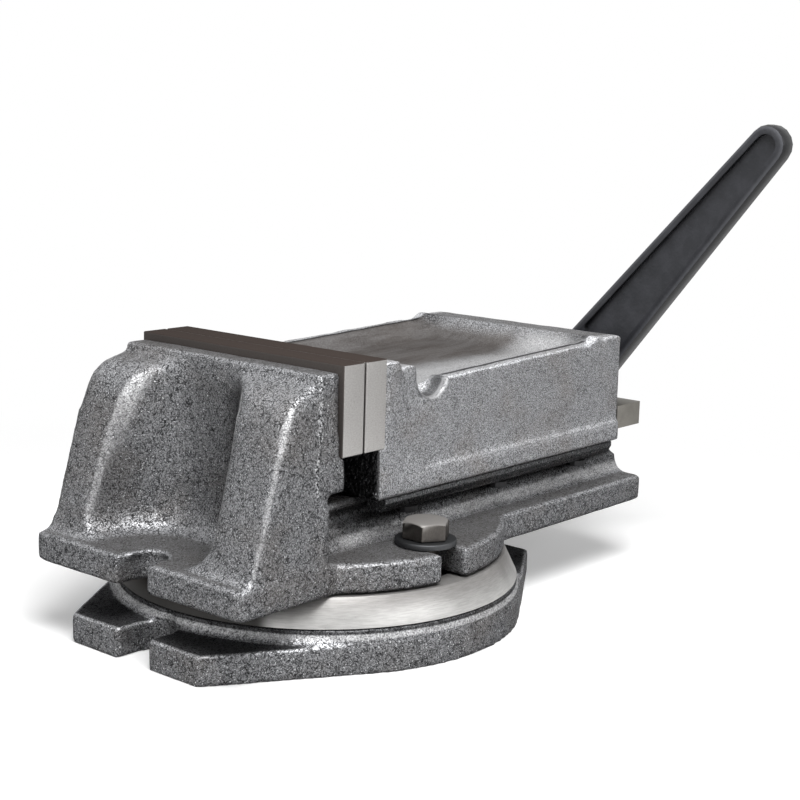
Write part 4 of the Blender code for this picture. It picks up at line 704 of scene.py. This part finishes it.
def bevelEdges(shape, edges, width, segments):
    bmesh.ops.bevel(shape, geom=edges, offset=width, offset_type="OFFSET", segments=segments,
                    profile=0.5, affect="EDGES", material=-1, clamp_overlap=True)


def bevelSharp(shape, width, segments, angle=35):
    limit = math.radians(angle)
    edges = [edge for edge in shape.edges if edge.is_manifold and edge.calc_face_angle() > limit]
    bevelEdges(shape, edges, width, segments)


def bevelWhere(shape, chosen, width, segments):
    # chosen takes the two ends of an edge
    edges = [edge for edge in shape.edges if chosen(*(vertex.co for vertex in edge.verts))]
    bevelEdges(shape, edges, width, segments)


def cutOff(shape, point, normal):
    # takes away what lies on the normal's side of a plane, and returns the edges of the cut
    cut = bmesh.ops.bisect_plane(shape, geom=shape.verts[:] + shape.edges[:] + shape.faces[:],
                                 dist=tiny, plane_co=point, plane_no=normal, clear_outer=True)
    return [item for item in cut["geom_cut"] if isinstance(item, bmesh.types.BMEdge)]


# castings: the CAD shape on an even grid, eased where the real casting runs in broad curves

casting = {
    "voxel": {"vise_body": 0.0014, "movable_jaw": 0.0013, "swivel_base": 0.0013},
    "ease": 5,
    "waveSize": 0.014,
    "wave": 0.00045,
    "waveLevel": 0.7,         # the texture's value that leaves the surface in place
}


def zone(low, high):
    # picks the points inside a box, on both sides of the middle
    return lambda p: (low[0] < p.x < high[0] and low[1] < abs(p.y) < high[1]
                      and low[2] < p.z < high[2])


def bulge(shape, chosen, push, centre, reach):
    # pushes the chosen vertices along push, most at the centre and less towards the reach
    for vertex in shape.verts:
        if chosen(vertex.co):
            away = math.hypot(*((vertex.co[i] - centre[i]) / reach[i] for i in range(3)))
            vertex.co += Vector(push) * max(0, 1 - away ** 2) ** 2


def easeWhere(shape, chosen, steps):
    picked = [vertex for vertex in shape.verts if chosen(vertex.co)]
    for step in range(steps):
        bmesh.ops.smooth_vert(shape, verts=picked, factor=0.5,
                              use_axis_x=True, use_axis_y=True, use_axis_z=True)


def castFromShape(nodeName, name, shape, hollow=None):
    piece = addObject(name, shape)
    grid = piece.modifiers.new("Remesh", "REMESH")
    grid.mode = "VOXEL"
    grid.voxel_size = casting["voxel"][nodeName]
    if hollow:
        cut = piece.modifiers.new("Hollow", "BOOLEAN")
        cut.operation = "DIFFERENCE"
        cut.object = hollow
        again = piece.modifiers.new("Again", "REMESH")
        again.mode = "VOXEL"
        again.voxel_size = casting["voxel"][nodeName]
    smooth = piece.modifiers.new("Smooth", "SMOOTH")
    smooth.factor = 0.5
    smooth.iterations = casting["ease"]
    bakeModifiers(piece)
    if hollow:
        bpy.data.objects.remove(hollow)
    return piece


def reshape(piece, *steps):
    # each step picks points, and then smooths them a number of times or pushes them out
    shape = bmesh.new()
    shape.from_mesh(piece.data)
    for chosen, *how in steps:
        if len(how) == 1:
            easeWhere(shape, chosen, *how)
        else:
            bulge(shape, chosen, *how)
    shape.to_mesh(piece.data)
    shape.free()


def addWaves(piece):
    cloud = bpy.data.textures.new(piece.name + "Wave", "CLOUDS")
    cloud.noise_scale = casting["waveSize"]
    wave = piece.modifiers.new("Wave", "DISPLACE")
    wave.texture = cloud
    wave.texture_coords = "LOCAL"
    wave.mid_level = casting["waveLevel"]
    wave.strength = casting["wave"]
    bakeModifiers(piece)
    # nothing reaches past the box round all the CAD solids
    for vertex in piece.data.vertices:
        vertex.co = [min(max(value, low), high) for value, low, high in zip(vertex.co, *cadBox)]
    triangles = sum(len(face.vertices) - 2 for face in piece.data.polygons)
    print(piece.name, "has", triangles, "triangles")


def addBlock(shape, low, high):
    middle = [(first + last) / 2 for first, last in zip(low, high)]
    size = [last - first for first, last in zip(low, high)]
    placed = Matrix.Translation(middle) @ Matrix.Diagonal((*size, 1))
    return bmesh.ops.create_cube(shape, size=1, matrix=placed)["verts"]


pocket = {
    "inner": -0.0672,
    "middle": 0.0030,
    "halfWidth": 0.0390,
    "floor": 0.0460,
    "top": 0.1275,
    "archRound": 0.028,
    "innerDeep": 0.044,       # the inner corners in plan are quarter ellipses
    "innerWide": 0.030,
    "floorRound": 0.0125,
    "planOut": -0.16,         # the tool that cuts it reaches well out and over
    "planTop": 0.140,
    "archOut": -0.15,
    "archIn": -0.06,
    "archFoot": 0.03,
    "fillLow": (-0.12, -0.046, 0.0455),       # block that closes the CAD pocket first
    "fillHigh": (-0.066, 0.046, 0.1208),
    "fillProud": 0.0003,
    "fillRound": 0.018,
    "fillRoundTo": -0.07,
}


def fillPocket(shape, size):
    # closes the CAD pocket level with the backs of the ribs, to be cut again with softer walls
    filler = bmesh.new()
    addBlock(filler, size["fillLow"], size["fillHigh"])
    onBack = (ribBack(jawWays["shoulderZ"]) + size["fillProud"], 0, jawWays["shoulderZ"])
    rim = cutOff(filler, onBack, (-1, 0, jawWays["lean"]))
    bmesh.ops.holes_fill(filler, edges=rim, sides=0)
    top = size["fillHigh"][2] - near
    bevelWhere(filler, lambda a, b: min(a.z, b.z) > top and max(a.x, b.x) < size["fillRoundTo"],
               size["fillRound"], segments=8)
    bmesh.ops.recalc_face_normals(filler, faces=filler.faces)
    patch = bpy.data.meshes.new("patch")
    filler.to_mesh(patch)
    filler.free()
    shape.from_mesh(patch)
    bpy.data.meshes.remove(patch)


def makePocketTool(size):
    # the plan of the pocket, cut to an arch from the back
    floor, inner, middle, half = size["floor"], size["inner"], size["middle"], size["halfWidth"]
    squash = size["innerWide"] / size["innerDeep"]
    plan = bmesh.new()
    addBlock(plan, (size["planOut"], -half / squash, floor),
             (inner, half / squash, size["planTop"]))
    bevelWhere(plan, lambda a, b: min(a.x, b.x) > inner - near and abs(a.z - b.z) > near,
               size["innerDeep"], segments=14)
    bmesh.ops.scale(plan, verts=plan.verts, vec=(1, squash, 1))
    bevelWhere(plan, lambda a, b: (max(a.z, b.z) < floor + near
                                   and max(a.x, b.x) > size["planOut"] + near),
               size["floorRound"], segments=7)
    bmesh.ops.translate(plan, verts=plan.verts, vec=(0, middle, 0))
    bmesh.ops.recalc_face_normals(plan, faces=plan.faces)
    arch = bmesh.new()
    addBlock(arch, (size["archOut"], middle - half - near, size["archFoot"]),
             (size["archIn"], middle + half + near, size["top"]))
    bevelWhere(arch, lambda a, b: min(a.z, b.z) > size["top"] - near and abs(a.x - b.x) > near,
               size["archRound"], segments=10)
    bmesh.ops.recalc_face_normals(arch, faces=arch.faces)
    tool, archPiece = addObject("pocketTool", plan), addObject("pocketArch", arch)
    both = tool.modifiers.new("Arch", "BOOLEAN")
    both.operation = "INTERSECT"
    both.object = archPiece
    bakeModifiers(tool)
    bpy.data.objects.remove(archPiece)
    return tool


ribShape = {
    # the far rib swells towards its shoulder
    "swellZone": ((-free, 0.020, -free), (-0.055, free, 0.1215)),
    "swellPush": (-0.0026, 0.0030, 0.0008),
    "swellMiddle": (-0.080, 0.066, 0.106),
    "swellReach": (0.060, 0.050, 0.060),
    # zones that are smoothed: two corners, with y taken on both sides, and how often
    "hollow": ((-free, -free, 0.050), (-0.060, 0.046, 0.118), 45),     # one curve between the ribs
    "hollowIn": 0.006,        # it starts this far in front of the backs of the ribs
    "mouth": ((-free, 0.024, 0.052), (free, 0.056, 0.124), 14),
    "mouthIn": 0.012,         # and its mouth ends this far in front of them
    "brow": ((-free, -free, 0.108), (-0.0645, 0.050, 0.1245), 14),
    "backs": ((-free, 0.050, 0.052), (-0.070, free, 0.121), 8),
    "shoulders": ((-free, 0.044, 0.082), (-0.064, free, 0.1225), 5),
    "upperShoulders": ((-free, 0.044, 0.090), (-0.064, free, 0.1225), 6),
    "topShoulders": ((-free, 0.044, 0.098), (-0.064, free, 0.1225), 14),
}


def makeViseCasting(size):
    shape = mergedCopy("vise_body")
    fillPocket(shape, pocket)
    piece = castFromShape("vise_body", "viseCasting", shape, makePocketTool(pocket))
    inHollow, inMouth = zone(*size["hollow"][:2]), zone(*size["mouth"][:2])
    rounded = [size[name] for name in
               ("brow", "backs", "shoulders", "upperShoulders", "topShoulders")]
    reshape(
        piece,
        (zone(*size["swellZone"]), size["swellPush"], size["swellMiddle"], size["swellReach"]),
        (lambda p: ribBack(p.z) + size["hollowIn"] < p.x and inHollow(p), size["hollow"][2]),
        (lambda p: p.x < ribBack(p.z) + size["mouthIn"] and inMouth(p), size["mouth"][2]),
        *((zone(low, high), steps) for low, high, steps in rounded),
    )
    addWaves(piece)
    return piece


viseCasting = dress(makeViseCasting(ribShape), "body", bodyFinish, sharp=0)
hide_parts("vise_body")

jawShape = {
    # the side panels fade in behind the jaw plate
    "sidePanels": ((-0.024, 0.0585, 0.074), (0.002, free, 0.124), 160),
    "tray": ((0.024, -free, 0.104), (0.146, 0.0510, 0.1215), 60),
    "trayCorners": ((0.126, 0.0500, 0.1150), (0.150, free, free), 20),
}

jawCasting = castFromShape("movable_jaw", "jawCasting", mergedCopy("movable_jaw"))
reshape(jawCasting, *((zone(low, high), steps) for low, high, steps in jawShape.values()))
addWaves(jawCasting)
dress(jawCasting, "jaw", jawFinish, sharp=0)
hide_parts("movable_jaw")


# swivel base: a cast plate with lugs, and a turned band on top

turntable = {
    "foot": 0.0197,       # height where the turned band starts
    "lap": 0.0003,        # the cast plate ends this far below it
    "top": 0.0320,
    "footRadius": 0.0941,
    "topRadius": 0.0880,
    "slot": (0.06325, 0.07675),
    "undercut": (0.05825, 0.08175),
    "lip": 0.0240,
    "bore": 0.0123,
    "edge": 0.0004,
    "rimRadius": 0.0960,
    "bevelFoot": 0.0142,
    "bevelSlope": 0.63,       # inwards, for each metre up
}


def makeBasePlate(size):
    shape = mergedCopy("swivel_base")
    cutOff(shape, (0, 0, size["foot"] - size["lap"]), (0, 0, 1))
    rim = [edge for edge in shape.edges if edge.is_boundary]
    bmesh.ops.triangle_fill(shape, edges=rim, use_beauty=True)
    bmesh.ops.recalc_face_normals(shape, faces=shape.faces)
    return shape


def spinProfile(shape, points, steps=192):
    # a closed profile of (radius, height) points turned once round the swivel axis
    corners = [shape.verts.new((radius, 0, height)) for radius, height in points]
    edges = [shape.edges.new((corners[i - 1], corners[i])) for i in range(len(corners))]
    bmesh.ops.spin(shape, geom=corners + edges, cent=(0, 0, 0), axis=(0, 0, 1), angle=math.tau,
                   steps=steps, use_merge=True, use_duplicate=False)


def makeTurntable(size):
    shape = bmesh.new()
    foot, top, lip = size["foot"], size["top"], size["lip"]
    slotIn, slotOut = size["slot"]
    deepIn, deepOut = size["undercut"]
    spinProfile(shape, [(deepOut, foot), (size["footRadius"], foot), (size["topRadius"], top),
                        (slotOut, top), (slotOut, lip), (deepOut, lip)])
    spinProfile(shape, [(size["bore"], foot), (deepIn, foot), (deepIn, lip), (slotIn, lip),
                        (slotIn, top), (size["bore"], top)])
    bmesh.ops.recalc_face_normals(shape, faces=shape.faces)
    bevelSharp(shape, size["edge"], 2)
    return addObject("baseTurntable", shape)


def bevelRim(piece, size):
    # the rim of the plate is bevelled up to the foot of the band
    for vertex in piece.data.vertices:
        point = vertex.co
        away = math.hypot(point.x, point.y)
        limit = max(size["rimRadius"] - (point.z - size["bevelFoot"]) * size["bevelSlope"],
                    size["footRadius"])
        if point.z > size["bevelFoot"] and away > limit:
            vertex.co = (point.x * limit / away, point.y * limit / away, point.z)


basePlate = castFromShape("swivel_base", "basePlate", makeBasePlate(turntable))
bevelRim(basePlate, turntable)
addWaves(basePlate)
dress(basePlate, "base", baseFinish, sharp=0)
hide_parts("swivel_base")
baseTurntable = makeTurntable(turntable)
dress(baseTurntable, "base", bandFinish)
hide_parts("swivel_base")
print("castings made")


# machined parts: the CAD shape with its flat faces whole again and its edges broken

flatAngle = 0.5      # degrees, under which two facets are one face


def machined(nodeName, width, segments=2, angle=35):
    shape = mergedCopy(nodeName)
    bmesh.ops.dissolve_limit(shape, angle_limit=math.radians(flatAngle), verts=shape.verts,
                             edges=shape.edges)
    bevelSharp(shape, width, segments, angle)
    bmesh.ops.recalc_face_normals(shape, faces=shape.faces)
    return shape


def addMachined(nodeName, finish, width):
    words = nodeName.split("_")
    name = words[0] + "".join(word.capitalize() for word in words[1:]) + "Shown"
    piece = addObject(name, machined(nodeName, width))
    dress(piece, bodyOfNode[nodeName], finish)
    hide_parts(nodeName)


slotOfNode = {part["node"]: part["material_slot"] for part in frame["record"]["subparts"]}
bodyOfNode = {name: node["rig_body"] for name, node in nodes.items()}

edgeBreak = {                 # finish and width of the broken edges
    "fixed_jaw_plate": (plateFinish, 0.00045),
    "movable_jaw_plate": (plateFinish, 0.00045),
    "bearing_plate": (barFinish, 0.00050),
    "thrust_washer": (bronzeFinish, 0.00020),
    "lead_nut": (bronzeFinish, 0.00050),
    "pivot_pin": (boltFinish, 0.00050),
}
for nodeName, (finish, width) in edgeBreak.items():
    addMachined(nodeName, finish, width)


jawPlates = {
    "seats": {"fixedJawPlateShown": -0.0542, "movableJawPlateShown": -0.0268},
    "thinned": 0.978,
}


def easeMeetingFace(name, seatX, share):
    # each plate stands a hair back from the other, which leaves a dark line between them
    for vertex in bpy.data.objects[name].data.vertices:
        vertex.co.x = seatX + (vertex.co.x - seatX) * share


for name, seatX in jawPlates["seats"].items():
    easeMeetingFace(name, seatX, jawPlates["thinned"])


# bolts that clamp the vise to its base

clampBolt = {
    "x": -0.0065,
    "y": 0.0700,
    "bottom": 0.005,
    "top": 0.0571,
    "faceRadius": 0.0090,     # flat left on top of the head by its chamfer
    "chamfer": 30,
    "reach": 0.0130,
    "edge": 0.0003,
    "edgeAngle": 70,          # degrees, from which an edge is broken
    "washerEdge": 0.0005,
}


def makeClampBolt(nodeName, side, size):
    shape = machined(nodeName, size["edge"], 1, size["edgeAngle"])
    piece = addObject(nodeName.replace("_", "") + "Shown", shape)
    turned = bmesh.new()
    drop = (size["reach"] - size["faceRadius"]) * math.tan(math.radians(size["chamfer"]))
    spinProfile(turned, [(0, size["bottom"]), (size["reach"], size["bottom"]),
                         (size["reach"], size["top"] - drop), (size["faceRadius"], size["top"]),
                         (0, size["top"])], steps=96)
    bmesh.ops.remove_doubles(turned, verts=turned.verts, dist=tiny)
    bmesh.ops.recalc_face_normals(turned, faces=turned.faces)
    bmesh.ops.translate(turned, verts=turned.verts, vec=(size["x"], side * size["y"], 0))
    tool = addObject("boltTool", turned)
    cut = piece.modifiers.new("Chamfer", "BOOLEAN")
    cut.operation = "INTERSECT"
    cut.object = tool
    bakeModifiers(piece)
    bpy.data.objects.remove(tool)
    dress(piece, bodyOfNode[nodeName], boltFinish)
    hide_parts(nodeName)


# keepers under the movable jaw: painted, with the lower outer corner cut back

keeper = {"side": 0.0600, "cutTop": 0.0646, "cutIn": 0.0024, "bottom": 0.0604, "edge": 0.0005}


def makeKeeper(nodeName, side, size):
    shape = machined(nodeName, size["edge"])
    rise = size["cutTop"] - size["bottom"]
    normal = Vector((0, side * rise, -size["cutIn"]))
    rim = cutOff(shape, (0, side * size["side"], size["cutTop"]), normal)
    bmesh.ops.holes_fill(shape, edges=rim, sides=0)
    bmesh.ops.recalc_face_normals(shape, faces=shape.faces)
    piece = dress(addObject(nodeName.replace("_", "") + "Shown", shape), bodyOfNode[nodeName],
                  stripFinish)
    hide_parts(nodeName)


# crank handle: a coated forging with soft edges

handle = {"edge": 0.0015, "segments": 4, "edgeAngle": 30, "sharp": 50}


def makeHandle(size):
    shape = machined("crank_handle", size["edge"], size["segments"], size["edgeAngle"])
    piece = addObject("crankHandleShown", shape)
    dress(piece, "handle", enamelFinish, size["sharp"])
    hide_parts("crank_handle")


makeHandle(handle)
for nodeName in nodes:
    side = -1 if nodeName.startswith("near") else 1
    if "clamp_bolt" in nodeName:
        makeClampBolt(nodeName, side, clampBolt)
    elif "clamp_washer" in nodeName:
        addMachined(nodeName, washerFinish, clampBolt["washerEdge"])
    elif "keeper" in nodeName and "screw" not in nodeName:
        makeKeeper(nodeName, side, keeper)
print("machined parts made")


# CAD pieces that keep their shape

carriedFinish = {"ground_steel": plateFinish, "oiled_steel": blackFinish,
                 "nut_bronze": bronzeFinish, "black_enamel": enamelFinish}
for nodeName, node in nodes.items():
    finish = carriedFinish.get(slotOfNode[nodeName])
    if finish and not node.hide_render:
        for place in node.material_slots:
            place.material = finish.material


# stage: pale floor, white surroundings and soft lamps

stageLook = {
    "floorColour": (0.82, 0.82, 0.82),
    "bounce": 0.25,       # its colour as other things see it
    "floorGlow": 0.30,
    "clearFrom": 0.22,    # the floor turns into plain white from here
    "clearTo": 0.50,
    "ambient": 0.16,
    "floorSize": 12,
    "aim": (0.03, 0, 0.08),
}

lamps = {                 # place, width, height and power
    "topBox": ((-0.28, -0.45, 1.05), 0.6, 0.6, 17),
    "sideBox": ((0.15, -1.3, 0.60), 0.9, 0.5, 4),
    "leftBox": ((-1.3, 0.2, 0.7), 0.6, 0.6, 2),
}


def lightPathMask(tree):
    rays = tree.nodes.new("ShaderNodeLightPath")
    camera, glossy, through = (Flow(tree, rays.outputs[name]) for name in
                               ("Is Camera Ray", "Is Glossy Ray", "Is Transmission Ray"))
    return camera.maths("MAXIMUM", glossy).maths("MAXIMUM", through)


def makeFloor(look):
    shape = bmesh.new()
    bmesh.ops.create_grid(shape, x_segments=4, y_segments=4, size=look["floorSize"])
    floor = addObject("studioFloor", shape)
    material = bpy.data.materials.new("studioFloor")
    material.use_nodes = True
    tree = material.node_tree
    tree.nodes.clear()
    at = Flow(tree, tree.nodes.new("ShaderNodeTexCoord").outputs["Object"])
    away = at.node("ShaderNodeVectorMath", {"operation": "LENGTH"}, 1, i0=at)
    far = away.ramp(look["clearFrom"], look["clearTo"])
    seen = lightPathMask(tree)
    tone = blend(seen, (look["bounce"],) * 3, look["floorColour"])
    cloth = at.node("ShaderNodeBsdfDiffuse", None, Color=tone)
    glow = at.node("ShaderNodeEmission", None, Color=(1, 1, 1), Strength=look["floorGlow"] * seen)
    close = at.node("ShaderNodeAddShader", None, i0=cloth, i1=glow)
    plain = at.node("ShaderNodeEmission", None, Color=(1, 1, 1), Strength=1.0)
    ground = at.node("ShaderNodeMixShader", None, i0=far * seen, i1=close, i2=plain)
    output = tree.nodes.new("ShaderNodeOutputMaterial")
    ground.feed(output.inputs["Surface"])
    floor.data.materials.append(material)


def makeWorld(look):
    world = bpy.data.worlds.new("studio")
    bpy.context.scene.world = world
    world.use_nodes = True
    tree = world.node_tree
    seen = lightPathMask(tree)
    back = tree.nodes["Background"]
    put((1, 1, 1), back.inputs["Color"])
    put(look["ambient"] + seen * (1 - look["ambient"]), back.inputs["Strength"])


def makeLamp(name, place, aim, width, height, power):
    lamp = bpy.data.lights.new(name, "AREA")
    lamp.shape = "RECTANGLE"
    lamp.size = width
    lamp.size_y = height
    lamp.energy = power
    holder = bpy.data.objects.new(name, lamp)
    bpy.context.scene.collection.objects.link(holder)
    holder.location = place
    holder.rotation_euler = (Vector(aim) - Vector(place)).to_track_quat("-Z", "Y").to_euler()


makeFloor(stageLook)
makeWorld(stageLook)
for name, (place, width, height, power) in lamps.items():
    makeLamp(name, place, stageLook["aim"], width, height, power)
print("stage made")
